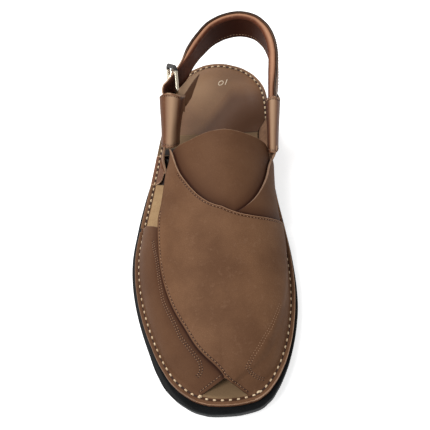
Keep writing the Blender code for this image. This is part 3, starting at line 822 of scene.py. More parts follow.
class Effects:
    """The shader node groups that several finishes share."""

    def __init__(self) -> None:
        """Build every group once."""
        self.grain = self._grain()
        self.mottle = self._mottle()
        self.edges = self._edges()

    @staticmethod
    def _grain() -> NodeTree:
        """Leather grain: pebbles with fine pores between them.

        Returns:
            The group.
        """
        sh, given, out = new_group("leather_grain", {"Scale": 1.0, "Pores": 0.5},
                                   ("Height", "Pore Mask"))
        where = sh.where()
        warp = sh.node("TexNoise", {"Vector": where, "Scale": 260.0, "Detail": 2.0})
        bent = sh.node("MixRGB", {0: 0.0025, 1: where, 2: warp.outputs["Color"]},
                       blend_type="ADD").outputs[0]
        cells = sh.node("TexVoronoi", {"Vector": bent, "Scale": sh.times(given["Scale"], 900.0)},
                        feature="DISTANCE_TO_EDGE").outputs["Distance"]
        pebble = sh.span(cells, 0.0, 0.28)
        fine = sh.noise(2600.0, 2.0)
        pitted = sh.times(sh.minus(1.0, sh.span(fine, 0.30, 0.42)), given["Pores"])
        height = sh.minus(sh.plus(sh.times(pebble, 0.6), sh.times(fine, 0.35)), pitted)
        sh.feed(out, {"Height": height, "Pore Mask": sh.minus(1.0, pebble)})
        return sh.tree

    @staticmethod
    def _mottle() -> NodeTree:
        """Soft patches of darker and lighter leather, and small rubbed flecks.

        Returns:
            The group.
        """
        sh, given, out = new_group("leather_mottle", {"Scale": 1.0}, ("Patches", "Flecks"))
        wide = sh.noise(sh.times(given["Scale"], 26.0), 4.0, 0.6)
        small = sh.noise(sh.times(given["Scale"], 210.0), 3.0, 0.65)
        sh.feed(out, {"Patches": sh.span(wide, 0.34, 0.68), "Flecks": sh.span(small, 0.52, 0.78)})
        return sh.tree

    @staticmethod
    def _edges() -> NodeTree:
        """Rubbed cut edges and the shade that gathers along stitch rows.

        Returns:
            The group.
        """
        sh, given, out = new_group("edge_and_seam", {"Edge Width": 1.0, "Seam Width": 0.8},
                                   ("Rubbed", "Seam Shade"))
        ragged = sh.span(sh.noise(420.0, 2.0), 0.2, 0.8, 0.55, 1.45)
        far = sh.math("DIVIDE", sh.field("edge_mm"), sh.times(given["Edge Width"], ragged))
        near = sh.math("DIVIDE", sh.field("stitch_mm"), given["Seam Width"])
        sh.feed(out, {"Rubbed": sh.span(far, 0.35, 1.0, 1.0, 0.0),
                      "Seam Shade": sh.span(near, 0.3, 1.0, 1.0, 0.0)})
        return sh.tree


EFFECTS = Effects()


def blank_material(name: str) -> tuple[Material, Shade, Node]:
    """A material with only its Principled shader, ready to wire.

    Args:
        name: of the material.

    Returns:
        The material, a helper for its tree, and the shader.
    """
    mat = bpy.data.materials.new(name)
    mat.use_nodes = True
    return mat, Shade(mat.node_tree), mat.node_tree.nodes["Principled BSDF"]


@dataclass(frozen=True)
class LeatherFinish:
    """One leather: its colours, grain and gloss."""

    name: str
    base: Colour
    # dark and light are the leather's own darker and lighter colours, and also the painted shade
    # and painted highlight that tone draws
    dark: Colour
    light: Colour
    # seam is the painted shade in the grooves along stitch rows, and the deepest painted shadow
    # where tone is below -1
    seam: Colour = (70, 42, 28)
    roughness: float = 0.5
    patches: float = 0.45
    flecks: float = 0.22
    grain: float = 1.0
    bump: float = 0.25
    edge_width: float = 1.0
    seam_width: float = 0.8
    seam_depth: float = 0.55
    rub: float = 0.6
    coat: float = 0.0
    gloss: float = 0.22
    mottle_scale: float = 1.0

    def make(self) -> Material:
        """Build the material.

        Returns:
            A new material.
        """
        mat, sh, skin = blank_material(self.name)
        grain = sh.group(EFFECTS.grain, {"Scale": self.grain})
        mottle = sh.group(EFFECTS.mottle, {"Scale": self.mottle_scale})
        edges = sh.group(EFFECTS.edges, {"Edge Width": self.edge_width,
                                         "Seam Width": self.seam_width})
        patch = sh.times(mottle["Patches"], self.patches)
        colour = sh.mix(patch, self.base, self.dark)
        tone = sh.field("tone")
        down = sh.times(tone, -1.0)
        # mottle, pores and rubbed edges are the leather's own; Seam Shade and tone paint shade and
        # light: above 0 towards light, below 0 towards dark, below -1 towards the seam colour;
        # inked edges take it too
        for share, over in (
                (sh.times(mottle["Flecks"], self.flecks), self.light),
                (sh.times(grain["Pore Mask"], 0.22), self.dark),
                (sh.times(edges["Seam Shade"], self.seam_depth), self.seam),
                (sh.times(edges["Rubbed"], self.rub), self.light),
                (sh.math("MAXIMUM", tone, 0.0), self.light),
                (sh.math("MAXIMUM", down, 0.0), self.dark),
                (sh.math("SUBTRACT", down, 1.0, clamp=True), self.seam)):
            colour = sh.mix(share, colour, over)
        rough = sh.plus(sh.times(mottle["Flecks"], 0.10), sh.times(patch, 0.10))
        sh.feed(skin, {"Base Color": colour, "Roughness": sh.plus(rough, self.roughness),
                       "Normal": sh.bump(grain["Height"], self.bump, 0.00025),
                       "Coat Weight": self.coat, "Coat Roughness": 0.35,
                       "Specular IOR Level": self.gloss})
        return mat


@dataclass(frozen=True)
class RawFinish:
    """Cut leather edges and flesh sides: fibrous and matt."""

    name: str
    base: Colour
    dark: Colour
    shaded: Colour = (80, 58, 42)  # where tone is -1: painted shade, and the ink of inked edges
    deep: Colour = (22, 13, 9)  # where tone is -2: painted deep shade, and the darkest ink
    fibre: float = 1500.0
    bump: float = 0.5

    def make(self) -> Material:
        """Build the material.

        Returns:
            A new material.
        """
        mat, sh, skin = blank_material(self.name)
        fibres = sh.noise(self.fibre, 4.0, 0.7)
        blend = sh.plus(sh.times(fibres, 0.6), sh.times(sh.noise(self.fibre * 0.12), 0.4))
        tone = sh.math("MAXIMUM", sh.times(sh.field("tone"), -1.0), 0.0)
        colour = sh.mix(sh.span(blend, 0.32, 0.68), self.dark, self.base)
        colour = sh.mix(tone, colour, self.shaded)
        colour = sh.mix(sh.math("SUBTRACT", tone, 1.0, clamp=True), colour, self.deep)
        sh.feed(skin, {"Base Color": colour, "Roughness": 0.85,
                       "Normal": sh.bump(fibres, self.bump, 0.0002)})
        return mat


@dataclass(frozen=True)
class ThreadFinish:
    """Waxed thread, twisted."""

    name: str
    base: Colour
    dark: Colour
    twist: float = 900.0

    def make(self) -> Material:
        """Build the material.

        Returns:
            A new material.
        """
        mat, sh, skin = blank_material(self.name)
        wave = sh.node("TexWave", {"Vector": sh.where(), "Scale": self.twist, "Distortion": 2.0},
                       bands_direction="DIAGONAL").outputs[1]
        dirt = sh.span(sh.noise(180.0, 2.0), 0.35, 0.75, 0.0, 0.6)
        colour = sh.mix(sh.times(wave, 0.25), sh.mix(dirt, self.base, self.dark), self.dark)
        sh.feed(skin, {"Base Color": colour, "Roughness": 0.55,
                       "Normal": sh.bump(wave, 0.5, 0.0002)})
        return mat


@dataclass(frozen=True)
class RubberFinish:
    """Moulded rubber, near black, with patches of dust."""

    name: str
    base: Colour
    dust: Colour
    roughness: float = 0.5

    def make(self) -> Material:
        """Build the material.

        Returns:
            A new material.
        """
        mat, sh, skin = blank_material(self.name)
        cloud = sh.noise(45.0)
        dusty = sh.times(sh.span(cloud, 0.45, 0.8), 0.35)
        sh.feed(skin, {"Base Color": sh.mix(dusty, self.base, self.dust),
                       "Roughness": sh.plus(sh.times(cloud, 0.2), self.roughness - 0.1),
                       "Specular IOR Level": 0.2,
                       "Normal": sh.bump(sh.noise(1400.0, 3.0, 0.6), 0.25, 0.0002)})
        return mat


@dataclass(frozen=True)
class MetalFinish:
    """Plated buckle metal with a few handling marks, painted dark where tone is below 0 in place
    of a dark reflection.
    """

    name: str
    base: Colour
    tarnish: Colour
    painted_dark_reflection: Colour = (30, 24, 20)  # where tone is -1: painted dark reflection
    roughness: float = 0.22

    def make(self) -> Material:
        """Build the material.

        Returns:
            A new material.
        """
        mat, sh, skin = blank_material(self.name)
        marks = sh.noise(700.0, 3.0, 0.7)
        stained = sh.times(sh.span(sh.noise(120.0, 2.0), 0.5, 0.8), 0.5)
        dark_reflection_share = sh.math("MULTIPLY", sh.field("tone"), -1.0, clamp=True)
        colour = sh.mix(dark_reflection_share, sh.mix(stained, self.base, self.tarnish), self.painted_dark_reflection)
        rough = sh.plus(sh.times(marks, 0.14), self.roughness - 0.06)
        sh.feed(skin, {"Base Color": colour, "Metallic": sh.minus(1.0, dark_reflection_share),
                       "Roughness": sh.plus(rough, sh.times(dark_reflection_share, 0.4)),
                       "Normal": sh.bump(marks, 0.08, 0.0001)})
        return mat


MADE: dict[str, Material] = {}


class Finish(Enum):
    """Every finish on the shoe."""

    UPPER = LeatherFinish("vamp_brown_leather", (119, 86, 62), (84, 56, 39), (164, 128, 102),
                          patches=0.62, flecks=0.16, roughness=0.54, edge_width=0.42,
                          seam=(50, 26, 16), seam_depth=0.8, gloss=0.07, rub=0.8)
    LOOP = LeatherFinish("loop_smooth_leather", (120, 80, 56), (74, 43, 32), (200, 164, 132),
                         roughness=0.40, patches=0.2, bump=0.12, coat=0.05, flecks=0.1,
                         gloss=0.14)
    SOCK = LeatherFinish("heel_sock_leather", (124, 90, 64), (88, 60, 43), (172, 140, 108),
                         roughness=0.40, patches=0.5, bump=0.10, coat=0.04, flecks=0.1,
                         seam=(66, 40, 26), gloss=0.13)
    ROLL = LeatherFinish("strap_inner_leather", (106, 60, 42), (54, 28, 20), (214, 162, 128),
                         roughness=0.56, patches=0.25, bump=0.12, mottle_scale=2.0, gloss=0.07,
                         seam=(30, 14, 10))
    WELT = LeatherFinish("welt_board_leather", (118, 80, 56), (84, 52, 36), (168, 126, 96),
                         roughness=0.42, bump=0.2, seam=(30, 18, 13), gloss=0.14)
    SUEDE = RawFinish("insole_suede", (174, 143, 104), (152, 120, 84), (108, 84, 58),
                      fibre=1100.0)
    EDGE = RawFinish("cut_edge", (192, 156, 128), (136, 102, 78), (58, 36, 26))
    FLESH = RawFinish("flesh_side", (128, 94, 68), (98, 68, 48))
    WELT_THREAD = ThreadFinish("welt_thread", (230, 206, 172), (188, 156, 118))
    FINE_THREAD = ThreadFinish("fine_thread", (176, 138, 106), (128, 94, 70))
    # the needle holes are painted shade on a flat bead
    HOLE_SHADE = RawFinish("needle_hole_shade", (60, 34, 24), (42, 22, 15), bump=0.1)
    RUBBER = RubberFinish("moulded_black_rubber", (11, 13, 15), (34, 38, 42))
    METAL = MetalFinish("pale_plated_metal", (236, 226, 204), (190, 172, 146))
    PRINT = RawFinish("size_print", (222, 206, 184), (205, 186, 162), bump=0.05)

    def material(self) -> Material:
        """The material, built the first time it is asked for."""
        if self.name not in MADE:
            MADE[self.name] = self.value.make()
        return MADE[self.name]


def finish_piece(ob: Object, replaces: Sequence[str] = ()) -> None:
    """Ride the piece on the shoe and log it.

    Args:
        ob: the piece.
        replaces: nodes of the frame it stands in for.
    """
    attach(ob, "root")
    if replaces:
        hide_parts(*replaces)
    LOG.info("%s: %d faces", ob.name, len(ob.data.polygons))


def finish_shell(shell: Shell, finishes: Sequence[Finish],
                 replaces: Sequence[str] = (), crease: float = 40.0) -> None:
    """Make a gathered piece in its finishes, then finish it."""
    finish_piece(shell.make([f.material() for f in finishes], crease), replaces)


# ---- the sole
@dataclass
class SoleUnit:
    """Outsole, welt board, insole with its heel sock, and the welt seam."""

    rows: int = 300
    midsole_thick: float = 4.0
    gap: float = 0.3
    insole_top: float = 2.0
    sock_front: float = 73.4
    sock_step: float = 0.12
    channel: float = 0.45  # depth of the groove the seam lies in
    notch: float = 289.3  # the board is bare to its rim from here on
    lateral_rear: float = 92.2  # where the lateral loop's leaf begins
    medial_rear: float = 57.0  # where the medial loop's leaf begins
    leaves_end: float = 122.0  # where both loops' leaves have ended
    bare_lateral: tuple = (120.2, 158)  # bare rim between leaf and panel
    bare_medial: tuple = (119, 154)  # and on the other side
    toe_from: float = 262.0  # the insole draws in from here on
    print_line: float = 0.68  # width of the size number's strokes
    # where the welt's thread ends meet: station, side
    joins: tuple = ((288.6, Side.LATERAL), (286.5, Side.MEDIAL), (139, Side.LATERAL))
    # how far the outsole's edge stands outside the seam: s, lateral, medial
    edge: tuple = (
        (0, 2.6, 2.6), (40, 2.8, 2.8), (90, 3.6, 3.4), (110, 4.6, 3.8), (130, 6.2, 4.2),
        (165, 6.6, 4.2), (200, 6.4, 4.6), (225, 6.1, 5.2), (250, 6.3, 4.9), (280, 8.3, 6),
        (292, 8.2, 7.8))
    # underside: station, height above the ground
    under: tuple = (
        (-6, 2.2), (2, 0.7), (9, 0), (74, 0), (86, 1.4), (112, 2.6), (138, 1.4), (150, 0),
        (212, 0), (232, 0.6), (255, 2.2), (275, 4.4), (300, 8))
    under_bends: tuple = (9, 74, 150, 212)
    grooves: tuple = (
        20, 34, 48, 62, 160, 174, 188, 202, 218, 234, 250, 266)
    groove: tuple = (2.6, 1.6)  # width and depth of a cross groove
    fine_groove: tuple = (0.9, 0.7)  # and of the fine ones between two of them
    groove_gap: float = 20.0  # nearer than this, two have fine ones between
    tread_crease: float = 35.0  # sharper edges of the rubber stay sharp
    # outsole wall from the ground up: share of the height, extra height, outset
    wall: tuple = (
        (0, 0, -1.6), (0, 0.3, -1.05), (0, 1, -0.6), (0.3, 0, -0.5), (0.6, 0, -0.45),
        (0.73, 0, -0.42), (0.755, 0, -0.85), (0.785, 0, -0.85), (0.805, 0, -0.25), (0.83, 0, 0),
        (0.93, 0, 0), (1, -0.35, -0.15), (1, 0, -0.6))
    # welt board's edge from its underside up: height, outset from the rim
    board_edge: tuple = (
        (-4, -0.5), (-3.75, -0.12), (-3.1, 0), (-2.25, 0), (-2.1, -0.25), (-1.95, 0), (-1, 0),
        (-0.3, -0.1), (0, -0.45), (0, -3.4), (0, -3.8))
    # stations where the insole's outline or tone turns
    insole_bends: tuple = (
        91.4, 92, 92.4, 118.8, 119.2, 119.5, 120, 120.4, 121.3, 122.2, 153.6, 154.4, 157.6, 158.4)
    # rows of points along the insole's edge, by their distance from it
    edge_steps: tuple = (0, 0.12, 0.5, 1, 1.6, 2.2, 2.7, 3.1, 3.6, 4.2, 5, 6.5)

    def build(self) -> None:
        """Make every piece of the sole."""
        self.outsole()
        self.board()
        self.insole()
        self.rim_strips()
        self.size_mark()
        self.welt_seam()

    def edge_out(self, loop: Array) -> Array:
        """Outset of the outsole's edge round the loop.

        Args:
            loop: plan points of the seam.

        Returns:
            Millimetres, one per point.
        """
        tab = curve(self.edge, loop[:, 1])
        mix = ease((loop[:, 0] + 4.0) / 12.0)
        return tab[:, 0] * (1 - mix) + tab[:, 1] * mix

    def ring(self, loop: Array, normal: Array, out: Array, dz: float) -> Array:
        """Ring of points offset from the seam, dz above the sprung midsole top."""
        q = loop + normal * np.broadcast_to(out, len(loop))[:, None]
        return np.column_stack([q, SEAM.spring(q[:, 1]) + dz])

    @staticmethod
    def ladder(n: int, start: int) -> Faces:
        """Faces across one ring of 2n + 2 points, row by row.

        Args:
            n: stations on each side.
            start: index of the ring's first point.

        Returns:
            Index tuples.
        """
        faces = [(start, start + 1, start + 2 * n + 1)]
        for k in range(1, n):
            faces.append((start + k, start + k + 1, start + 2 * n + 1 - k, start + 2 * n + 2 - k))
        faces.append((start + n, start + n + 1, start + n + 2))
        return faces

    def stack(self, shell: Shell, rings: Sequence[Array], rows: int,
              top_tone: float = 0.0) -> None:
        """Closed body from rings stacked upwards, its top face toned; a tone below 0 is painted
        shade.

        Args:
            shell: piece to add to.
            rings: rings of points.
            rows: stations on each side of a ring.
            top_tone: tone of the top face, below 0 for painted shade.
        """
        pts = np.stack(rings)
        k, m = pts.shape[:2]
        faces = grid_faces(k, m, around=True)
        faces += [f[::-1] for f in self.ladder(rows, 0)]
        faces += self.ladder(rows, (k - 1) * m)
        tone = np.zeros((k, m))
        tone[-1] = top_tone
        shell.add(pts, faces, 0, tone=tone)

    def ground_z(self, plan: Array, height: Array) -> Array:
        """Shoe z that puts plan points at a height above the ground."""
        ca, sa = math.cos(AXES.heel_pitch), math.sin(AXES.heel_pitch)
        return (height - AXES.ball_height + (plan[:, 1] - AXES.ball_s) * sa) / ca

    def clear(self, s: Array) -> Array:
        """Height of the underside above the ground at station s."""
        tab = np.asarray(self.under)
        return np.interp(s, tab[:, 0], tab[:, 1])

    def outsole(self) -> None:
        """Moulded rubber outsole with its lip, wall and cross grooves."""
        rows = SEAM.stations(self.rows, self.under_bends)
        loop, normal = SEAM.loop(rows)
        out = self.edge_out(loop)
        rings = []
        for share, extra, outset in self.wall:
            q = loop + normal * (out + outset)[:, None]
            low = self.ground_z(q, self.clear(q[:, 1]))
            high = SEAM.spring(q[:, 1]) - self.midsole_thick - self.gap
            rings.append(np.column_stack([q, low + (high - low) * share + extra]))
        shell = Shell("outsole_rubber")
        self.stack(shell, rings, len(rows))
        ob = shell.make([Finish.RUBBER.material()], self.tread_crease)
        self.cut_tread(ob)
        finish_piece(ob, ["outsole"])

    def tread_bars(self) -> Object:
        """The bars that cut the main cross grooves and the fine ones between them.

        Returns:
            One object with every bar.
        """
        verts: list[tuple[float, float, float]] = []
        faces: Faces = []
        bars = [(s, *self.groove) for s in self.grooves]
        for a, b in zip(self.grooves, self.grooves[1:]):
            if b - a < self.groove_gap:
                bars += [(a + (b - a) * f, *self.fine_groove) for f in (0.3, 0.5, 0.7)]
        reach, below = 80.0 * MM, 4.0 * MM
        for s, wide, deep in bars:
            y = AXES.place(np.array([0.0, s, 0.0]))[1]
            z = self.clear(s) * MM
            h = wide * 0.5 * MM
            b = len(verts)
            for x in (-reach, reach):
                verts += [(x, y - h, z - below), (x, y + h, z - below),
                          (x, y + 0.7 * h, z + deep * MM), (x, y - 0.7 * h, z + deep * MM)]
            faces += [(b, b + 1, b + 2, b + 3), (b + 7, b + 6, b + 5, b + 4)]
            faces += [(b + i, b + 4 + i, b + 4 + (i + 1) % 4, b + (i + 1) % 4) for i in range(4)]
        me = bpy.data.meshes.new("tread_bars")
        me.from_pydata(verts, [], faces)
        face_outwards(me)
        return new_object("tread_bars", me)

    def cut_tread(self, ob: Object) -> None:
        """Cut the tread's grooves out of the outsole.

        Args:
            ob: the outsole.
        """
        tool = self.tread_bars()
        mod = ob.modifiers.new("tread", "BOOLEAN")
        mod.operation = "DIFFERENCE"
        mod.solver = "EXACT"
        mod.object = tool
        deps = bpy.context.evaluated_depsgraph_get()
        cut = bpy.data.meshes.new_from_object(ob.evaluated_get(deps))
        ob.modifiers.clear()
        ob.data = cut
        cut.shade_smooth()
        cut.set_sharp_from_angle(angle=math.radians(self.tread_crease))
        bpy.data.objects.remove(tool)

    def board(self) -> None:
        """Leather welt board between the outsole and the insole."""
        rows = SEAM.stations(self.rows)
        loop, normal = SEAM.loop(rows)
        shell = Shell("welt_board")
        rings = [self.ring(loop, normal, SEAM.rim + out, z) for z, out in self.board_edge]
        # the board's top is painted deep shade, where it shows in the gap by the lateral leaf
        self.stack(shell, rings, len(rows), -2.0)
        finish_shell(shell, [Finish.WELT], ["midsole"], 60)

    @staticmethod
    def heel_print(x: Array, s: Array) -> Array:
        """Depth of the soft print that a heel leaves in the sock."""
        return 0.9 * hump(np.hypot((x - 2.0) / 30.0, (s - 40.0) / 36.0), 1.0)

    def insole_out(self, loop: Array) -> Array:
        """Out to the rim where the welt is bare, inside the wall elsewhere.

        Args:
            loop: plan points of the seam.

        Returns:
            Outset from the seam, one per point.
        """
        x, s = loop[:, 0], loop[:, 1]
        inner, in_loop = -(SEAM.wall_inset + 1.0), -(SideLoop.inset + 0.5)
        lobe = SideLoop.lobe_reach * ease((s - 98.0) / 8.0)
        lat = np.where((s < self.lateral_rear) | between(s, *self.bare_lateral), SEAM.rim,
                       np.where(s < self.leaves_end, in_loop - lobe, inner))
        along = (in_loop + 0.5) * ease((s - self.medial_rear - 1.5) / 18.0) - 0.5
        med = np.where((s < self.medial_rear) | between(s, *self.bare_medial), SEAM.rim,
                       np.where(s < self.leaves_end, along, inner))
        d = np.where(x < 6.0, lat, med)
        d = np.where(s > self.toe_from, d - 5.5 * ease((s - self.toe_from) / 22.0), d)
        return np.where(s > self.notch, SEAM.rim, d)

    def insole_plan(self, rows: Array) -> Array:
        """Grid over the insole in plan (x, s), close set along its edges.

        Args:
            rows: stations.

        Returns:
            Plan points, lateral to medial in each row.
        """
        loop, normal = SEAM.loop(rows)
        n = len(rows)
        edge = loop + normal * self.insole_out(loop)[:, None]
        med, lat = edge[1:n + 1], edge[n + 2:][::-1]
        span = np.linalg.norm(med - lat, axis=1)
        squeeze = np.clip(span / 2 / 7.5, None, 1.0)
        step = (med - lat)[:, None] * (np.array(self.edge_steps)[None] * squeeze[:, None]
                                       / span[:, None])[..., None]
        left, right = lat[:, None] + step, med[:, None] - step
        inner = left[:, -1][:, None] + ((right[:, -1] - left[:, -1])[:, None]
                                        * np.linspace(0, 1, 34)[None, 1:-1, None])
        return np.concatenate([left, inner, right[:, ::-1]], 1)

    def insole_level(self, plan: Array, to_seam: Array) -> Array:
        """Height of the insole's face: sock step, seam channel and heel print.

        Args:
            plan: plan points.
            to_seam: their distance from the seam.

        Returns:
            Height above the sprung midsole top.
        """
        s, m = plan[..., 1], plan.shape[1]
        top = self.insole_top + self.sock_step * (1 - ease((s - self.sock_front + 0.05) / 0.1))
        top = top - self.channel * hump(to_seam, 1.0)
        top = top - 0.22 * np.isin(np.arange(m), (0, m - 1))
        return top - self.heel_print(plan[..., 0], s) * ease((to_seam - 4.0) / 9.0)

    def insole_tone(self, plan: Array) -> Array:
        """Painted light and shade on the insole, and the suede's own darker colour towards the
        toe.

        Args:
            plan: plan points.

        Returns:
            Tone, one per point.
        """
        x, s = plan[..., 0], plan[..., 1]
        # painted shade on the suede from the sock's front edge to s = 124; darker suede towards
        # the toe
        suede = -(1 - ease((s - 98.0) / 26.0)) - 0.8 * ease((s - 240.0) / 25.0)
        # painted deep shade in the hole beside the lateral leaf
        leaf_hole_shade = (ease((-29.0 - x) / 4.0) * ease((x + 42.0) / 2.0)
                   * ease((s - 84.0) / 3.0) * (s < 121.0))
        # on the sock, a painted highlight on its lateral rear, painted shadow towards the front
        # and the medial side, and a painted dark line along its front edge
        front = 24.0 + 1.5 * np.clip(14.0 - x, 0.0, None)
        sock = (0.35 * hump(np.hypot(x + 13.0, s - 26.0), 20.0)
                - 1.15 * ease((s - front) / 17.0) - 0.9 * hump(s - self.sock_front, 0.6))
        return np.where(s < self.sock_front, sock, suede - leaf_hole_shade)

    def insole(self) -> None:
        """Tan insole board, with the brown heel sock laid on its rear."""
        steps = [at + d for at, half in ((self.sock_front, 0.05), (self.medial_rear, 0.1),
                                         (self.notch, 0.1)) for d in (-half, half)]
        rows = SEAM.stations(self.rows, steps + list(self.insole_bends))
        plan = self.insole_plan(rows)
        n, m = plan.shape[:2]
        s = plan[..., 1]
        to_seam = SEAM.gap(plan, 500)
        grid = np.dstack([plan, SEAM.spring(s) + self.insole_level(plan, to_seam)])
        shell = Shell("insole_and_sock")
        slot = [0 if rows[i] < self.sock_front else 1 for i in range(n - 1) for _ in range(m - 1)]
        near = self.edge_steps
        rim_mm = np.r_[near, np.full(m - 2 * len(near), FAR), near[::-1]]
        shell.add(grid, grid_faces(n, m), slot, edge_mm=rim_mm, stitch_mm=to_seam,
                  tone=self.insole_tone(plan))
        # side wall and underside close it
        base = grid.copy()
        base[..., 2] = SEAM.spring(s) + self.gap
        ring = border(m, n)
        wall = np.vstack([g.swapaxes(0, 1).reshape(-1, 3)[ring] for g in (grid, base)])
        shell.add(wall, grid_faces(2, len(ring), around=True), 2, edge_mm=0.0)
        both = np.stack([base[:, 0], base[:, -1]], 1)
        shell.add(both, [f[::-1] for f in grid_faces(n, 2)], 2)
        finish_shell(shell, [Finish.SOCK, Finish.SUEDE, Finish.EDGE],
                     ["insole"], 50)

    def rim_strips(self) -> None:
        """Brown strips over the bare rim, level with the panels' own rims."""
        loop, normal = SEAM.loop(SEAM.stations(900))
        x, s = loop[:, 0], loop[:, 1]
        shell = Shell("rim_strips")
        across = np.linspace(-1.2, SEAM.rim + 0.1, 18)
        (lat_a, lat_b), (med_a, med_b) = self.bare_lateral, self.bare_medial
        for bare, groove in ((s > self.notch - 0.5, 0.0),
                             ((x < 0) & between(s, lat_a - 0.3, lat_b + 0.4), 0.4),
                             ((x > 0) & between(s, med_a - 0.3, med_b + 0.4), 0.4)):
            plan = loop[bare][:, None] + normal[bare][:, None] * across[:, None]
            top = np.dstack([plan, SEAM.spring(plan[..., 1]) + self.insole_top + 0.12
                             - groove * hump(across, 0.9)])
            add_sheet(shell, top - UP * 0.3, top, UP, (0, 0, 0), 0.05,
                      edge_mm=across[-1] - across, stitch_mm=np.abs(across) * GROOVE_SHADE)
        finish_shell(shell, [Finish.UPPER])

    def size_mark(self) -> None:
        """A plain size number on the heel sock, read from the heel."""
        z = self.insole_top + self.sock_step
        shell = Shell("size_number")
        one = np.array([[10.4, 16.8], [8.6, 22.4]])
        t = np.linspace(0, 2 * math.pi, 25)
        nought = np.stack([5.0 + 1.9 * np.cos(t) - 0.7 * np.sin(t), 20.3 + 2.3 * np.sin(t)], -1)
        for line in (one, nought):
            tan = unit(np.gradient(line, axis=0))
            side = np.stack([tan[:, 1], -tan[:, 0]], -1) * (self.print_line / 2)
            rail = np.stack([line + side, line - side], 1)
            level = z - self.heel_print(rail[..., 0], rail[..., 1])
            low, high = (np.dstack([rail, level + dz]) for dz in (-0.4, 0.07))
            add_sheet(shell, low, high, UP, (0, 0, 0), 0.0)
        finish_shell(shell, [Finish.PRINT])

    def welt_seam(self) -> None:
        """Thick cream stitches all round the welt, doubled where thread ends meet."""
        loop, _ = SEAM.loop(SEAM.stations(500))
        closed = np.vstack([loop, loop[:1]])
        z = SEAM.spring(closed[:, 1]) + self.insole_top - self.channel + 0.22
        z = z + self.sock_step * (closed[:, 1] < self.sock_front)
        line = np.column_stack([closed, z])
        shell = Shell("welt_stitches")
        sew(shell, line, np.broadcast_to(UP, line.shape), WELT_STITCH)
        # second thread laid over the first at the joins
        half = WELT_STITCH.pitch / 2
        shape, faces = stitch_shape(WELT_STITCH)
        for mid, side in self.joins:
            s = np.array([mid - half, mid + half])
            ends = np.column_stack([SEAM.across(s)[:, side.column], s])
            near = np.array([loop[np.argmin(np.hypot(*(loop - e).T))] for e in ends])
            pts = np.column_stack([near, SEAM.spring(near[:, 1]) + self.insole_top + 0.35])
            add_copies(shell, shape * 1.12, faces, pts.mean(0)[None], unit(pts[1:] - pts[:-1]),
                       UP[None], 0)
        finish_shell(shell, [Finish.WELT_THREAD, Finish.HOLE_SHADE])


# ---- the upper
def coons(rear: Rows, front: Rows, lat: Rows, med: Rows, n: int, m: int) -> Array:
    """(u, w) grid between four outline paths.

    Args:
        rear: path of the first row.
        front: path of the last row.
        lat: path of the first column.
        med: path of the last column.
        n: rows of the grid.
        m: columns of the grid.

    Returns:
        An n by m grid of (u, w).
    """
    down, over = np.linspace(0, 1, n), np.linspace(0, 1, m)
    a, b = down[:, None, None], over[None, :, None]
    r, f = path(rear, over)[None], path(front, over)[None]
    side_l, side_m = path(lat, down)[:, None], path(med, down)[:, None]
    c = ((1 - a) * (1 - b) * r[:, :1] + (1 - a) * b * r[:, -1:]
         + a * (1 - b) * f[:, :1] + a * b * f[:, -1:])
    return (1 - a) * r + a * f + (1 - b) * side_l + b * side_m - c


class PanelEdge(Enum):
    """The four edges of a panel, each as the index of its line in the grid."""

    REAR = (0, slice(None))
    FRONT = (-1, slice(None))
    LATERAL = (slice(None), 0)
    MEDIAL = (slice(None), -1)


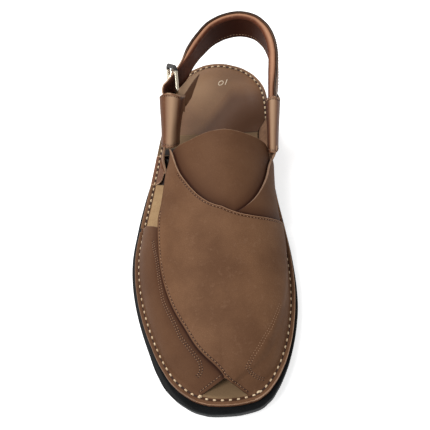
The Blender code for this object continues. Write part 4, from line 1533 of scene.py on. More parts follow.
@dataclass
class Panel:
    """One leather panel over the last, with its sewn rows and creases."""

    name: str
    grid: Array
    lift: Callable[[Array, Array], Array]
    thick: float
    rows: list[Rows] = field(default_factory=list)  # sewn lines, (u, w)
    channel: bool = True  # has the welt groove
    free: tuple[PanelEdge, ...] = ()  # edges that are rubbed
    inked: tuple[PanelEdge, ...] = ()  # edges that are inked dark
    shade: float = 0.0  # painted shade over the whole panel
    under_edges: Sequence[Rows] = ()  # edges lying over this panel, with painted shadow beside them
    creases: Sequence[tuple[Rows, float, float]] = ()  # line, depth, width

    def raw_line(self, points: Rows, count: int = 260) -> Array:
        """A (u, w) line as points on the bare outer face."""
        uw = path(points, np.linspace(0, 1, count))
        p, n = LAST.point(uw[:, 0], uw[:, 1]), LAST.normal(uw[:, 0], uw[:, 1])
        return p + n * (self.lift(uw[:, 0], uw[:, 1]) + self.thick)[:, None]

    def shape(self) -> dict[str, Array]:
        """Faces of the panel, with its troughs, and its stored values.

        Returns:
            What add_sheet() takes, by name.
        """
        u, w = self.grid[..., 0], self.grid[..., 1]
        p, n = LAST.point(u, w), LAST.normal(u, w)
        low = p + n * self.lift(u, w)[..., None]
        bare = low + n * self.thick
        dip = np.zeros(u.shape)
        stitch = np.full(u.shape, FAR)
        for row in self.rows:
            stitch = np.minimum(stitch, nearest(bare, self.raw_line(row)))
        dip -= 0.16 * hump(stitch, 0.75)
        for line, depth, width in self.creases:
            dip -= depth * hump(nearest(bare, self.raw_line(line)), width)
        if self.channel:
            away = (np.abs(w) - SEAM_W) * SEAM.ledge / WELT_W
            dip -= 0.4 * hump(away, 0.9)
            stitch = np.minimum(stitch, np.abs(away) * GROOVE_SHADE)
        rim = (1 + WELT_W - np.abs(w)) * SEAM.ledge / WELT_W
        edge = np.minimum(FAR, np.maximum(rim, 0.0))
        for side in self.free:
            edge = np.minimum(edge, nearest(bare, bare[side.value]))
        # long soft swells, as the leather was pulled over the last
        swell = 0.16 * np.sin(9.0 * u + 2.0 * w) * np.cos(3.1 * w + 5.0 * u)
        dip += swell * (1 - ease((np.abs(w) - 0.70) / 0.2))
        tone = np.full(u.shape, -self.shade)
        # painted shadow beside the edges lying over the panel: a broad soft one and a dark line
        # next to the edge
        for line in self.under_edges:
            gap = nearest(bare, self.raw_line(line))
            tone = np.minimum(tone, -self.shade - 0.85 * hump(gap, 7.5) - 1.1 * hump(gap, 1.7))
        for side in self.inked:
            tone[side.value] = INK_TONE
        return {"low": low, "high": bare + n * dip[..., None], "up": n, "edge_mm": edge,
                "stitch_mm": stitch, "tone": tone}

    def build(self, node: str) -> None:
        """Make the panel's mesh, in place of a node of the frame.

        Args:
            node: the node.
        """
        shell = Shell(self.name)
        add_sheet(shell, slots=(0, 1, 2), **self.shape())
        finish_shell(shell, [Finish.UPPER, Finish.FLESH, Finish.EDGE], [node])

    def sew_row(self, shell: Shell, row: Rows, kind: Stitch) -> None:
        """Lay the stitches of one row, sunk in the panel's face.

        Args:
            shell: piece the stitches go to.
            row: the line, (u, w).
            kind: stitch size.
        """
        uw = path(row, np.linspace(0, 1, 300))
        up = LAST.normal(uw[:, 0], uw[:, 1])
        sew(shell, self.raw_line(row, 300) - up * ROW_SINK, up, kind)


def beside(line: Rows, away: float) -> list[tuple[float, float]]:
    """A (u, w) line shifted sideways over the last by some millimetres.

    Args:
        line: the line.
        away: how far, to the right of its run positive.

    Returns:
        Forty points of the shifted line.
    """
    u, w = path(line, np.linspace(0, 1, 40)).T
    p, n = LAST.point(u, w), LAST.normal(u, w)
    side = unit(np.cross(unit(np.gradient(p, axis=0)), n))
    e = 0.002
    du = (LAST.point(u + e, w) - LAST.point(u - e, w)) / (2 * e)
    dw = (LAST.point(u, w + e) - LAST.point(u, w - e)) / (2 * e)
    out = []
    for k in range(len(u)):
        jac = np.stack([du[k], dw[k]], -1)
        step, *_ = np.linalg.lstsq(jac, side[k] * away, rcond=None)
        out.append((float(u[k] + step[0]), float(w[k] + step[1])))
    return out


@dataclass
class Upper:
    """The two crossed vamp panels and the tongue, with their stitching."""

    leather: float = 1.7  # thickness of both panels
    bite: float = 0.2  # how far the outer one sinks into the under one
    swirl_half: float = 0.85  # half the gap between the rows of a double row
    crease: tuple = (0.14, 1.5)  # depth and width of the crease between them
    tongue_thick: float = 1.6
    tongue_drop: float = 2.15  # how far the tongue lies inside the last
    # outlines of the outer panel, the under panel and the tongue, all (u, w)
    outer_free: tuple = (
        (0.125, -0.55), (0.165, -0.525), (0.20, -0.52), (0.25, -0.535), (0.33, -0.53),
        (0.45, -0.53), (0.58, -0.50), (0.70, -0.47), (0.80, -0.40), (0.87, -0.31), (0.93, -0.22),
        (0.97, -0.13), (1.00, -0.02))
    outer_throat: tuple = (
        (0.125, -0.55), (0.16, -0.51), (0.20, -0.47), (0.285, -0.38), (0.335, -0.315),
        (0.375, -0.26), (0.42, -0.19), (0.465, -0.09), (0.49, 0.03), (0.502, 0.16), (0.50, 0.30),
        (0.485, 0.48), (0.455, 0.72), (0.42, 0.95), (0.40, 1.20))
    under_rear: tuple = (
        (0.440, -1.20), (0.445, -0.95), (0.465, -0.76), (0.495, -0.61), (0.52, -0.50),
        (0.535, -0.25), (0.525, 0.02), (0.495, 0.15))
    under_throat: tuple = (
        (0.495, 0.15), (0.462, 0.25), (0.415, 0.36), (0.35, 0.47), (0.26, 0.585), (0.19, 0.64),
        (0.14, 0.70))
    under_hidden: tuple = (
        (0.14, 0.70), (0.16, 0.80), (0.24, 0.86), (0.38, 0.86), (0.55, 0.78), (0.72, 0.66),
        (0.86, 0.50), (1.00, 0.30))
    tongue_top: tuple = (
        (0.138, -0.52), (0.134, -0.44), (0.137, -0.33), (0.130, -0.18), (0.128, 0), (0.119, 0.18),
        (0.106, 0.37), (0.094, 0.51), (0.088, 0.60), (0.100, 0.68))
    tongue_front: tuple = (
        (0.160, -0.53), (0.28, -0.43), (0.42, -0.28), (0.53, -0.12), (0.57, 0.06), (0.53, 0.28),
        (0.42, 0.48), (0.28, 0.62), (0.15, 0.72))
    # ornamental double rows
    swirl_lateral: tuple = (
        (0.560, -0.585), (0.60, -0.56), (0.646, -0.53), (0.692, -0.52), (0.742, -0.51),
        (0.783, -0.50), (0.812, -0.47), (0.846, -0.43), (0.875, -0.41), (0.896, -0.37),
        (0.917, -0.34), (0.936, -0.33), (0.950, -0.37), (0.963, -0.47), (0.967, -0.58))
    swirl_medial: tuple = (
        (0.775, 0.63), (0.817, 0.57), (0.85, 0.52), (0.871, 0.47), (0.896, 0.43), (0.917, 0.40),
        (0.933, 0.40), (0.950, 0.48), (0.957, 0.62), (0.958, 0.77), (0.955, 0.86))

    def outer_lift(self, u: Array, w: Array) -> Array:
        """How far the outer panel stands off where it lies on the under one.

        Args:
            u: place along the shoe.
            w: place across it.

        Returns:
            Millimetres off the last.
        """
        hid = np.interp(u, *zip(*self.under_hidden[1:]))
        start = 0.40 - 0.25 * ease(w / 0.15)
        return ((self.leather - self.bite + 0.25) * ease((u - start) / 0.09)
                * (1 - ease((w - hid - 0.03) / 0.16)))

    def build(self) -> None:
        """Make both panels, the tongue and all their stitches."""
        under, outer = self.under_panel(), self.outer_panel()
        under.build("upper")
        outer.build("upper")
        self.tongue().build("tongue")
        shell = Shell("panel_stitches")
        for panel in (under, outer):
            for row in panel.rows:
                panel.sew_row(shell, row, FINE_STITCH)
        for panel, line in ((under, self.swirl_lateral), (outer, self.swirl_medial)):
            for away in (-self.swirl_half, self.swirl_half):
                panel.sew_row(shell, beside(line, away), SMALL_STITCH)
        finish_shell(shell, [Finish.FINE_THREAD, Finish.HOLE_SHADE])

    def under_panel(self) -> Panel:
        """Lateral front panel that passes under and becomes the medial wing.

        Returns:
            The panel.
        """
        front = [(1.0, w) for w in (-1.2, -0.8, -0.4, 0.0, 0.30)]
        lat = [self.under_rear[0], (0.65, -1.2), (0.85, -1.2), (1.0, -1.2)]
        grid = coons(self.under_rear + self.under_throat[1:], front, lat, self.under_hidden,
                     176, 150)
        toe = beside([(1.0, w) for w in (-0.94, -0.7, -0.4, -0.12)], 1.4)
        return Panel("under_panel", grid, lambda u, w: np.zeros(np.shape(u)), self.leather,
                     rows=[toe], free=(PanelEdge.REAR, PanelEdge.MEDIAL), inked=(PanelEdge.FRONT,),
                     under_edges=[self.outer_free[5:], self.outer_throat[9:]], shade=0.5,
                     creases=[(beside(self.swirl_lateral, 0.0), *self.crease)])

    def outer_panel(self) -> Panel:
        """Medial front panel that crosses over and becomes the lateral wing.

        Returns:
            The panel.
        """
        front = [(1.0, w) for w in (-0.02, 0.3, 0.6, 0.9, 1.2)]
        med = [(u, 1.2) for u in (0.40, 0.6, 0.8, 1.0)]
        grid = coons(self.outer_throat, front, self.outer_free, med, 200, 150)
        toe = beside([(1.0, w) for w in (0.0, 0.3, 0.6, 0.90)], 0.9)
        free = beside(self.outer_free[5:-1], 1.5)[::3] + toe[9::10]
        throat = beside(self.outer_throat[3:-1], -1.4)
        return Panel("outer_panel", grid, self.outer_lift, self.leather,
                     rows=[free, throat], free=(PanelEdge.REAR,),
                     inked=(PanelEdge.LATERAL, PanelEdge.FRONT),
                     creases=[(beside(self.swirl_medial, 0.0), *self.crease)])

    def tongue(self) -> Panel:
        """Curved tongue under the throat.

        Returns:
            The tongue, as a panel.
        """
        lat = [self.tongue_top[0], self.tongue_front[0]]
        med = [self.tongue_top[-1], self.tongue_front[-1]]
        grid = coons(self.tongue_top, self.tongue_front, lat, med, 70, 120)
        return Panel("tongue_leather", grid, lambda u, w: np.full(np.shape(u), -self.tongue_drop),
                     self.tongue_thick, channel=False, free=tuple(PanelEdge), shade=0.46,
                     under_edges=[self.outer_throat[1:12], self.under_throat])


# ---- loops and strap
BAND_WIDE = 22.0  # width of the heel strap
TAIL_THICK = 2.0  # thickness of its tucked tail


@dataclass
class SideLoop:
    """Side loop: a rounded sleeve for the strap on a leaf sewn into the welt."""

    name: str
    node: str  # the frame's node it stands in for
    side: Side
    top: tuple[float, float, float]  # middle of the sleeve's mouth
    hem: tuple[float, float, float]  # middle of its lower end
    foot: tuple[float, float]  # stations the leaf is sewn down at
    outer_half: tuple[float, float]  # thickness outwards at top and hem
    inner_half: tuple[float, float]  # thickness inwards at top and hem
    shift: float = 0.0  # how far the sleeve sits inwards of its middle
    climb: float = 0.0  # how far the leaf runs up the sleeve's rear
    ridge: float = 0.2  # where the painted highlight runs, out positive
    wall: float = 1.5  # thickness of the sleeve's leather
    half_wide: float = BAND_WIDE / 2 + 2.6
    lobe: float = 0.0  # share of the leaf that stays flat in front
    droop: float = 4.6  # how far the mouth's sides fall away
    droop_run: float = 9.0  # and over how much of the sleeve
    row_in: float = 2.2  # stitch row, from either end
    leaf_rise: float = 2.4  # height of the bend over the welt
    leaf_thick: float = 1.7
    inset: float = 6.4  # leaf's wall foot inside the seam
    lobe_reach: float = 2.4  # how much further in the flat lobe comes

    def axes(self) -> tuple[Array, Array, Array, Array]:
        """Centre ends, down direction, width direction and outward direction.

        Returns:
            The two ends, and three vectors of length 1.
        """
        top, hem = np.array(self.top), np.array(self.hem)
        down = unit(hem - top)
        wide = unit(UP - (down @ UP) * down)
        out = unit(np.cross(wide, -down))
        out = out if out[0] * self.side.value > 0 else -out
        return np.stack([top, hem]) - out * self.shift, down, wide, out

    def section(self, t: Array, shrink: float, sides: int = 56) -> Array:
        """Rounded outlines along the sleeve, full at the top, slimmer at the hem.

        Args:
            t: places along the sleeve, 0 at the top.
            shrink: how far inside the skin.
            sides: points in an outline.

        Returns:
            Outlines as (width, outwards) pairs.
        """
        c, d = np.cos(angles(sides)), np.sin(angles(sides))
        slim = ease(t * 1.15)[:, None]
        outer, inner = (at_top + (at_hem - at_top) * slim
                        for at_top, at_hem in (self.outer_half, self.inner_half))
        half = np.where(d > 0, outer, inner)
        wide = self.half_wide * (1 - 0.07 * slim)
        return np.stack([(wide - shrink) * np.sign(c) * np.abs(c) ** 0.78,
                         (half - shrink) * np.sign(d) * np.abs(d) ** 0.86], -1)

    def build(self) -> None:
        """Make the sleeve, the leaf and their stitches."""
        ends, down, wide, out = self.axes()
        k = 60
        t = np.linspace(0, 1, k)
        length = float(np.linalg.norm(ends[1] - ends[0]))
        from_end = np.minimum(t, 1 - t) * length
        centre = ends[0] + (ends[1] - ends[0]) * t[:, None]
        # the skin is creased under the stitches and rolled at the rim
        dip = (0.30 * hump(from_end - self.row_in, 0.5) - 0.12 * hump(from_end - 1.0, 0.7)
               + 0.25 * hump(from_end, 0.35))
        skins = []
        for shrink in (dip[:, None], np.full((k, 1), self.wall)):
            ring = self.section(t, shrink)
            sag = (self.droop * (ring[..., 1] / self.outer_half[0]) ** 2
                   * np.clip(1 - t[:, None] * length / self.droop_run, 0, None) ** 2)
            skins.append(centre[:, None] + wide * ring[..., :1] + out * ring[..., 1:]
                         + down * sag[..., None])
        m = skins[0].shape[1]
        shell = Shell(self.name)
        faces = grid_faces(k, m, around=True)
        shell.add(skins[0], faces, 0, edge_mm=from_end[:, None],
                  stitch_mm=np.abs(from_end - self.row_in)[:, None],
                  tone=self.sleeve_light_and_shade(t, from_end))
        shell.add(skins[1], [f[::-1] for f in faces], 1)
        for row in (0, k - 1):
            rim = np.stack([skins[0][row], skins[1][row]])
            shell.add(rim, grid_faces(2, m, around=True), 2)
        self.add_leaf(shell)
        finish_shell(shell, [Finish.LOOP, Finish.FLESH, Finish.EDGE],
                     [self.node], 45)
        thread = Shell(self.name + "_stitches")
        for down_from_end in (t * length, (1 - t) * length):
            row = int(np.argmin(np.abs(down_from_end - self.row_in)))
            line = np.vstack([skins[0][row], skins[0][row, :1]])
            sew(thread, line, unit(line - centre[row]), SMALL_STITCH)
        finish_shell(thread, [Finish.FINE_THREAD, Finish.HOLE_SHADE])

    def sleeve_light_and_shade(self, t: Array, from_end: Array) -> Array:
        """Painted light on the sleeve: a painted highlight along its front, painted shade inwards
        of it and lighter painted shade outwards.

        Args:
            t: places along the sleeve, 0 at the top.
            from_end: their distance from the nearer end.

        Returns:
            Tone, one per point of the sleeve.
        """
        local = self.section(t, 0.0)
        ridge = local[..., 1] / np.abs(local[..., 1]).max(1, keepdims=True)
        front = ease((local[..., 0] / self.half_wide + 0.1) / 0.5)
        off = self.ridge - ridge
        # painted highlight along the line, fading near the ends; painted shade deeper inwards,
        # lighter outwards
        rub = 0.78 * hump(off, 0.42) * front * ease(from_end[:, None] / 3.0)
        return rub - (1.0 * ease((off - 0.34) / 0.34) + 0.3 * ease((-off - 0.4) / 0.4)) * front

    def leaf_column(self, cut: float, count: int) -> tuple[Array, Array, Array, Array]:
        """Rim, foot, outward direction and place across the hem, the front cut back.

        Args:
            cut: share of the leaf's length cut back.
            count: points along it.

        Returns:
            Rim and foot points, the directions, and the places, 0 to 1.
        """
        v = np.linspace(0, 1 - cut, count)
        s = self.foot[0] + (self.foot[1] - self.foot[0]) * v
        base, n = SEAM.foot(s, self.side)
        rim = base + n * SEAM.ledge
        pull = ease(v / 0.3) if self.climb else np.ones(count)
        inset = self.inset * pull + bool(self.lobe) * (
            self.lobe_reach * ease((v - 0.3) / 0.3) - 2.4 * hump(v - 0.12, 0.3))
        base = base + n * (SEAM.wall_inset - inset)[:, None]
        z0 = SEAM.spring(s) + LAST.floor
        return (np.column_stack([rim, z0]), np.column_stack([base, z0]),
                np.column_stack([n, np.zeros(count)]), v)

    def add_leaf(self, shell: Shell) -> None:
        """Leather leaf from the welt rim up to the sleeve's hem.

        Args:
            shell: piece to add to.
        """
        (_, hem), down, wide, out = self.axes()
        cols = 56
        turn = 0.4 if self.climb else 0.0
        face = hem + out * (self.outer_half[1] - self.wall * 1.5) - down * 5.0
        lift = UP * self.leaf_rise
        flat, bend, rise = [], [], []
        for f in np.linspace(0, 1, 12):
            bow = 1 - math.sqrt(1 - max(0.0, (f - 0.30) / 0.70) ** 2)
            rim, p0, n3, _ = self.leaf_column(self.lobe * bow, cols)
            flat.append(rim * (1 - f) + (p0 + n3 * 3.0) * f)
        for f in (0.25, 0.5, 0.75):
            _, p0, n3, _ = self.leaf_column(self.lobe * (1 + 0.06 * f), cols)
            bend.append(p0 + n3 * (3.0 * (1 - f)**2 + 2 * (1 - f) * f * 0.9 + 0.4 * f * f)
                        + lift * f * f)
        for k in np.linspace(0.0, 1.0, 34):
            waist = 1.06 + 0.62 * math.sin(2.3 * k) - 0.9 * k * k * k
            _, p0, n3, v = self.leaf_column(self.lobe * waist, cols)
            across = np.clip((v - turn) / (1 - turn), 0, 1) * 2 - 1
            back = self.climb * np.clip(1 - v / max(turn, 1e-6), 0, 1)
            upper = (face + wide * across[:, None] * (self.half_wide - 3.0)
                     - down * back[:, None] - out * (0.10 * back)[:, None])
            a = p0 + n3 * 0.4 + lift
            c1, c2 = a + UP * 9.0, upper + down * 9.0
            rise.append((1 - k)**3 * a + 3 * (1 - k)**2 * k * c1
                        + 3 * (1 - k) * k * k * c2 + k**3 * upper)
        mid = np.array(flat + bend + rise)
        nn = unit(np.cross(np.gradient(mid, axis=0), np.gradient(mid, axis=1)))
        if (nn[30, cols // 2] @ out) < 0:
            nn = -nn
        high = mid + nn * self.leaf_thick
        n = len(flat)
        to_seam = np.full(mid.shape[:2], FAR)
        to_seam[:n] = SEAM.gap(mid[:n, :, :2], 300)
        high[:n] -= nn[:n] * (0.4 * hump(to_seam[:n], 0.9))[..., None]
        edge = np.minimum(nearest(mid, mid[:, 0]), nearest(mid, mid[:, -1]))
        add_sheet(shell, mid, high, nn, (0, 1, 2), edge_mm=edge,
                  stitch_mm=to_seam * GROOVE_SHADE)


@dataclass(frozen=True)
class Band:
    """The heel strap along its centre line, one value or vector per station."""

    centre: Array
    wide: Array  # direction of its width, upwards
    out: Array  # direction away from the heel
    half: Array  # half width
    pad: Array  # 0 bare at the buckle, 1 padded
    deep: Array  # thickness of the inner layer
    drop: Array  # half width of the inner layer below
    warm: Array  # 0 shaded by the sleeve, 1 in the light
    crown: Array  # 1 behind the heel
    inside: Array  # 1 on the medial side

    def at(self, up: Array, away: Array) -> Array:
        """Points up the width and away from the centre line, in millimetres."""
        return (self.centre[:, None] + self.wide[:, None] * up[..., None]
                + self.out[:, None] * away[..., None])


@dataclass
class HeelStrap:
    """Padded strap round the heel, its buckle and its tucked tail."""

    pad_thick: float = 2.45
    outer_row: float = 0.80  # sewn rows outside, share of the half width
    inner_row: float = 0.74  # sewn row low on the inside
    # centre line between the two sleeves, lateral to medial
    line: tuple = (
        (-27.4, 72, 59.2), (-24.2, 68, 60.7), (-20.9, 62.6, 61), (-18.2, 56, 60.3),
        (-13.9, 43.3, 58.8), (-7.3, 28, 56.6), (1.5, 15, 55.7), (12, 8.8, 55.8), (24, 7.4, 56.3),
        (35, 12.2, 57.2), (43, 22, 58.3), (48, 35, 59.5), (50, 50, 60), (49.5, 64, 57.5))
    # top edge of the tucked tail, from inside the sleeve to its tip
    tail_line: tuple = (
        (-22, 82, 49), (-20.3, 75.5, 52), (-17.2, 69, 52.2), (-12.9, 59, 50.6), (-8.5, 49.5, 48))
    # section of the inner layer, up its outer face and, past the roll, down its
    # inner face: share of the half width, thickness share, tone of painted light and shade
    pad_front: tuple = (
        (-0.97, 0.26, -0.3), (-0.5, 0.26, -0.3), (0.2, 0.26, -0.3), (0.62, 0.26, -0.6))
    pad_back: tuple = (
        (0.60, -0.93, -0.10), (0.50, -0.95, -0.15), (0.3, -0.97, -0.25), (0, -0.98, -0.25),
        (-0.3, -0.98, -0.25), (-0.6, -0.95, -0.20), (-0.70, -0.92, -0.2), (-0.74, -0.86, -0.4),
        (-0.78, -0.92, -0.15), (-0.9, -0.93, -0.15), (-0.96, -0.85, -0.1), (-0.985, -0.6, -0.1),
        (-0.99, -0.1, -0.3))
    tail_lean: float = math.radians(48.0)  # how far the outer layer leans outwards
    buckle_at: tuple = (-27.1, 62, 58.8)
    buckle_along: tuple = (0.005, 0.690, -0.719)
    buckle_half: tuple = (9.2, 13.2)
    buckle_corner: float = 3.4
    buckle_wire: float = 1.55
    wire_sides: int = 14
    buckle_turn: float = math.radians(19.0)
    prong: tuple = ((-26.6, 53.4, 61), (-29.4, 66.2, 60.6))

    def build(self, lateral: SideLoop, medial: SideLoop) -> None:
        """Make the strap between two side loops, then tail, buckle and prong.

        Args:
            lateral: the loop with the buckle.
            medial: the other loop.
        """
        self.band(lateral, medial)
        self.tail()
        self.buckle()
        self.pin()

    @staticmethod
    def frame_along(points: Rows, t: Array) -> tuple[Array, Array, Array]:
        """Centre, width direction and outward normal along a band.

        Args:
            points: the band's centre line.
            t: where to read it, 0 to 1.

        Returns:
            Points, and two sets of vectors of length 1.
        """
        c = path(points, t)
        e = 1e-3
        tan = unit(path(points, np.clip(t + e, 0, 1)) - path(points, np.clip(t - e, 0, 1)))
        wide = unit(UP - (tan @ UP)[:, None] * tan)
        return c, wide, unit(np.cross(wide, tan))

    def band(self, lateral: SideLoop, medial: SideLoop) -> None:
        """Outer cover, and the rolled and padded inner layer.

        Args:
            lateral: the loop with the buckle.
            medial: the other loop.
        """
        lt, lb = np.array(lateral.top), np.array(lateral.hem)
        mt, mb = np.array(medial.top), np.array(medial.hem)
        aside = np.array([-1.5, 0.0, 0.0])
        pts = [lb + (lt - lb) * k + aside for k in (0.25, 0.5, 0.75, 1.0)]
        pts += [np.array(p) for p in self.line]
        pts += [mt + (mb - mt) * k for k in (0.0, 0.25, 0.5, 0.75)]
        t = np.linspace(0, 1, 230)
        c, wide, out = self.frame_along(pts, t)
        if out[110] @ (c[110] - c.mean(0)) < 0:
            out = -out
        pad = ease((t - 0.20) / 0.09)
        half = BAND_WIDE / 2 - 0.8 * (1 - pad)
        crown = hump(t - 0.5, 0.17)
        # the roll is fattest on the medial side, the band narrowest at the buckle
        inside = ease((t - 0.56) / 0.14) * (1 - ease((t - 0.80) / 0.06))
        deep = 1.15 + (self.pad_thick * (1.22 + 0.38 * inside) - 1.15) * pad
        drop = half * (1 + 0.16 * crown - 0.34 * pad * (1 - ease((t - 0.26) / 0.16)))
        band = Band(c, wide, out, half, pad, deep, drop, ease((t - 0.17) / 0.07), crown, inside)
        self.cover(band)
        self.pad_layer(band)
        self.strap_rows(band)

    def cover(self, band: Band) -> None:
        """Brown outer leather, seen on the outside and as a thin line above.

        Args:
            band: the strap's centre line.
        """
        a = np.linspace(-1, 1, 36)
        pad, crown = band.pad[:, None], band.crown[:, None]
        row = np.abs(np.abs(a) - self.outer_row) * BAND_WIDE / 2
        outer_t = (1.25 + (2.15 - 1.25) * pad) + 0.35 * (1 - a**6) * pad
        outer_t = outer_t - 0.16 * hump(row, 0.7)[None] * pad
        inner_t = (0.15 + 0.75 * pad) + 0 * outer_t
        low, high = (band.at(band.half[:, None] * a[None], t) for t in (inner_t, outer_t))
        edge = (1 - np.abs(a)) * BAND_WIDE / 2 + FAR * (crown > 0.3)
        inked = np.where(np.abs(a) > 0.97, -1.0, 0.0)[None] * crown
        shell = Shell("strap_cover")
        add_sheet(shell, low, high, band.out[:, None], (0, 1, 2), edge_mm=edge, stitch_mm=row,
                  tone=inked, cut_tone=-1.7 * band.pad)
        finish_shell(shell, [Finish.LOOP, Finish.FLESH, Finish.EDGE],
                     ["heel_strap"])

    def strap_rows(self, band: Band) -> None:
        """Two sewn rows outside and one low on the inside.

        Args:
            band: the strap's centre line.
        """
        thread = Shell("strap_stitches")
        live = slice(60, 214)
        over = np.full(len(band.half), 2.38)
        for up, lift, face in ((self.outer_row * band.half, over, 1),
                               (-self.outer_row * band.half, over, 1),
                               (-self.inner_row * band.drop, -0.88 * band.deep, -1)):
            line = band.at(up[:, None], lift[:, None])[live, 0]
            sew(thread, line, (band.out * face)[live], FINE_STITCH)
        finish_shell(thread, [Finish.FINE_THREAD, Finish.HOLE_SHADE])

    def pad_layer(self, band: Band) -> None:
        """Inner layer: painted highlight on the roll along the top edge, painted shade on the
        lining below.

        Args:
            band: the strap's centre line.
        """
        roll = np.linspace(math.radians(14), math.radians(222), 20)
        # painted highlight along the top of the roll, painted shade towards its inner side
        roll_highlight = 0.62 * hump(roll - math.radians(86), 0.62) - 0.12 - 0.25 * ease((roll - 2.2) / 1.5)
        rolled = [(0.775 + 0.205 * math.sin(a), -0.46 + 0.78 * math.cos(a), g)
                  for a, g in zip(roll, roll_highlight)]
        tab = np.array(list(self.pad_front) + rolled + list(self.pad_back))
        up, share, light = tab.T[:, None]
        tall = np.where(up < 0, band.drop[:, None], band.half[:, None])
        deep = np.where(share > 0, np.minimum(band.deep, self.pad_thick)[:, None],
                        band.deep[:, None])
        ring = band.at(tall * up, deep * share)
        warm = band.warm[:, None]
        low = (up < 0.7) & (share < -0.5)
        # painted shadow of the lateral sleeve near the buckle, painted shade on the lining low
        # behind the heel, a little painted light on the medial side
        tone = light * warm - 0.9 * (1 - warm)
        tone = tone - 0.75 * band.crown[:, None] * low + 0.12 * band.inside[:, None]
        seam = np.abs(up + self.inner_row) * BAND_WIDE / 2 + 3.0 * (share > -0.5)
        shell = Shell("strap_roll_and_lining")
        shell.add(ring, tube_faces(*ring.shape[:2]), 0, stitch_mm=seam, tone=tone)
        finish_shell(shell, [Finish.ROLL], ["heel_strap"], 50)

    def tail(self) -> None:
        """Free end of the strap, two layers, tucked inside the lateral sleeve."""
        shell = Shell("strap_tail_leather")
        k, m = 44, 14
        t = np.linspace(0, 1, k)
        c, wide, out = self.frame_along(self.tail_line, t)
        hang = np.interp(t, [0.0, 0.6, 0.82, 1.0], [13.0, 12.5, 7.0, 1.2])
        lean = 6.6 * (1 - t) ** 0.6 + 0.4
        b = np.linspace(0, 1, m)
        lateral = out * np.where(out[:, :1] < 0, 1.0, -1.0)
        sin, cos = math.sin(self.tail_lean), math.cos(self.tail_lean)
        # the outer layer is painted light, the inner one a little; the inner one's cut edge is
        # painted shade
        for along, face, deep, cut, tone in (
                (lateral * sin + wide * cos, wide * sin - lateral * cos, lean, 0.0, 1.0),
                (-wide, -lateral, hang, -0.9, 0.1)):
            at = c[:, None] + along[:, None] * (deep[:, None] * b)[..., None]
            up = face[:, None]
            add_sheet(shell, at - up * 0.45, at + up * 0.45, up, (0, 1, 2), 0.1,
                      edge_mm=b * 8.0 + 1.0, tone=tone, cut_tone=np.full(k, cut))
        finish_shell(shell, [Finish.LOOP, Finish.ROLL, Finish.EDGE],
                     ["strap_tail"])

    def buckle_axes(self) -> tuple[Array, Array, Array]:
        """Directions along the strap, across it and out of the buckle.

        Returns:
            Three vectors of length 1.
        """
        tg = unit(np.array(self.buckle_along))
        wd = unit(np.cross((1.0, 0.0, 0.0), tg))
        wd = wd if wd[2] > 0 else -wd
        no = unit(np.cross(tg, wd))
        no = no if no[0] > 0 else -no
        cos, sin = math.cos(self.buckle_turn), math.sin(self.buckle_turn)
        return tg, wd * cos + no * sin, no * cos - wd * sin

    def buckle_outline(self) -> Array:
        """Centre line of the wire in its own plane, with round corners.

        Returns:
            Points (along, across), closely spaced.
        """
        a, b = self.buckle_half
        r = self.buckle_corner
        corners = []
        for cx, cy, first in ((a - r, b - r, 0), (-a + r, b - r, 90), (-a + r, -b + r, 180),
                              (a - r, -b + r, 270)):
            for k in range(12):
                ang = math.radians(first + 90 * k / 11)
                corners.append((cx + r * math.cos(ang), cy + r * math.sin(ang)))
        corners = np.array(corners)
        fine = []
        for p, q in zip(corners, np.roll(corners, -1, 0)):
            steps = max(1, int(np.linalg.norm(q - p) / 1.5))
            fine += [p + (q - p) * f / steps for f in range(steps)]
        return np.array(fine)

    def buckle(self) -> None:
        """Wire frame the strap threads through."""
        tg, wd, no = self.buckle_axes()
        flat = self.buckle_outline()
        centre = np.array(self.buckle_at) + tg * flat[:, :1] + wd * flat[:, 1:]
        side = np.cross(closed_tangent(centre), no)
        t, wire = angles(self.wire_sides), self.buckle_wire
        ring = (centre[:, None] + side[:, None] * (wire * 1.05 * np.cos(t))[None, :, None]
                + no * (wire * 0.92 * np.sin(t))[None, :, None])
        shell = Shell("buckle_wire_frame")
        # painted dark reflection over the frame's far end
        far_end = -ease((-flat[:, :1] / self.buckle_half[0] - 0.64) / 0.08)
        shell.add(ring, tube_faces(*ring.shape[:2], loop=True), 0, tone=far_end)
        finish_shell(shell, [Finish.METAL], ["buckle_frame"])

    def pin(self) -> None:
        """Prong that lies over the strap, thinner at its tip."""
        t, along = angles(self.wire_sides), np.linspace(0, 1, 16)
        q = path(self.prong, along)
        tan = unit(q[-1] - q[0])
        s1 = unit(np.cross(tan, self.buckle_axes()[1]))
        s2 = np.cross(tan, s1)
        thin = self.buckle_wire * 0.72 * np.sqrt(np.clip(1.0 - along**8 * 0.8, 0, 1))
        ring = (q[:, None] + s1 * (thin[:, None] * np.cos(t))[..., None]
                + s2 * (thin[:, None] * np.sin(t))[..., None])
        shell = Shell("buckle_tongue_pin")
        shell.add(ring, tube_faces(*ring.shape[:2]), 0)
        finish_shell(shell, [Finish.METAL], ["buckle_prong"])


# ---- studio
@dataclass(frozen=True)
class SoftLight:
    """One rectangular studio light, aimed at the shoe."""

    name: str
    at: tuple[float, float, float]
    size: float
    watts: float
    tint: tuple[float, float, float] = (1.0, 1.0, 1.0)


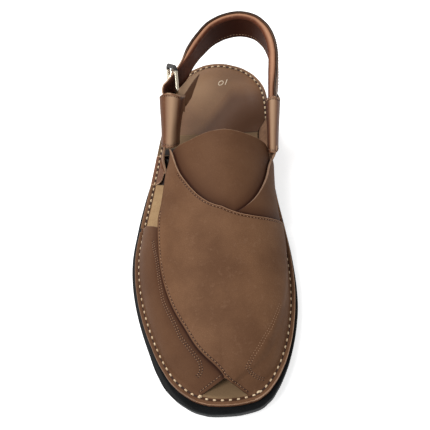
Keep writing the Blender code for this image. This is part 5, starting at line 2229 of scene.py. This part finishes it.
@dataclass
class Studio:
    """Pale floor, soft light and the camera."""

    camera_at: tuple = (0.0410, -0.2792, 0.4692)
    camera_aim: tuple = (0.0024, -0.0052, 0.030)
    camera_roll: float = math.radians(-9.26)
    lens: float = 58.6
    floor_half: float = 6.0
    floor_glow: float = 0.6
    sky: float = 0.46  # light from the surroundings
    sky_seen: float = 0.6  # what the camera sees on top of it
    lights: tuple = (
        SoftLight("key", (-0.46, -0.38, 1.30), 0.50, 9.6),
        SoftLight("side", (-0.80, -0.86, 0.62), 0.30, 1.8),
        SoftLight("back", (-0.42, 1.00, 1.05), 0.28, 9.5, (1, 0.97, 0.92)))

    def build(self) -> None:
        """Make floor, world, lights and camera."""
        self.floor()
        self.world()
        for lamp in self.lights:
            self.lamp(lamp)
        self.camera()
        bpy.context.scene.view_settings.view_transform = "Standard"

    def floor(self) -> None:
        """Plain pale floor at the shoe's lowest point."""
        me = bpy.data.meshes.new("floor")
        r = self.floor_half
        me.from_pydata([(-r, -r, 0), (r, -r, 0), (r, r, 0), (-r, r, 0)], [], [(0, 1, 2, 3)])
        ob = new_object("floor", me)
        mat, sh, skin = blank_material("floor_white")
        # a little light of its own, for the camera only, thins the cast shadow
        seen = sh.node("LightPath").outputs["Is Camera Ray"]
        sh.feed(skin, {"Base Color": (0.94, 0.94, 0.94, 1.0), "Roughness": 0.9,
                       "Emission Color": sh.mix(seen, (0, 0, 0), (255, 255, 255)),
                       "Emission Strength": self.floor_glow})
        me.materials.append(mat)

    def world(self) -> None:
        """Even white surroundings, full white only to the camera."""
        world = bpy.data.worlds.new("studio")
        bpy.context.scene.world = world
        world.use_nodes = True
        sh = Shade(world.node_tree)
        seen = sh.node("LightPath").outputs["Is Camera Ray"]
        sh.feed(world.node_tree.nodes["Background"],
                {"Color": (1.0, 1.0, 1.0, 1.0),
                 "Strength": sh.plus(self.sky, sh.times(seen, self.sky_seen))})

    def lamp(self, lamp: SoftLight) -> None:
        """Place one light.

        Args:
            lamp: the light.
        """
        data = bpy.data.lights.new(lamp.name, "AREA")
        data.shape = "SQUARE"
        data.size = lamp.size
        data.energy = lamp.watts
        data.color = lamp.tint
        ob = new_object(lamp.name, data)
        ob.location = lamp.at
        ob.rotation_euler = (-Vector(lamp.at)).to_track_quat("-Z", "Y").to_euler()

    def camera(self) -> None:
        """Camera at the wearer's view from above the toe."""
        data = bpy.data.cameras.new("camera")
        data.lens = self.lens
        data.sensor_width = 36.0
        data.clip_start = 0.01
        ob = new_object("camera", data)
        look = Vector(self.camera_aim) - Vector(self.camera_at)
        turn = look.to_track_quat("-Z", "Y").to_matrix().to_4x4()
        ob.matrix_world = (Matrix.Translation(Vector(self.camera_at)) @ turn
                           @ Matrix.Rotation(self.camera_roll, 4, "Z"))
        bpy.context.scene.camera = ob


def main() -> None:
    """Build the shoe, piece by piece, and the studio round it."""
    logging.basicConfig(level=logging.INFO, format="%(message)s")
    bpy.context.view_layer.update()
    Studio().build()
    SoleUnit().build()
    Upper().build()
    lateral = SideLoop("lateral_loop_leather", "side_loop_lateral", Side.LATERAL,
                       top=(-27.6, 73.6, 58.3), hem=(-31.8, 102.1, 29.9), foot=(92.8, 119.6),
                       outer_half=(9.5, 7.2), inner_half=(8.6, 5.2),
                       shift=TAIL_THICK / 2 + 0.3, lobe=0.42, ridge=-0.24)
    medial = SideLoop("medial_loop_leather", "side_loop_medial", Side.MEDIAL,
                      top=(48.0, 75.6, 51.2), hem=(46.0, 105.0, 21.0), foot=(58.5, 118.4),
                      outer_half=(5.0, 4.0), inner_half=(6.0, 4.4), climb=24.0, ridge=-0.05)
    lateral.build()
    medial.build()
    HeelStrap().build(lateral, medial)


if __name__ == "__main__":
    main()
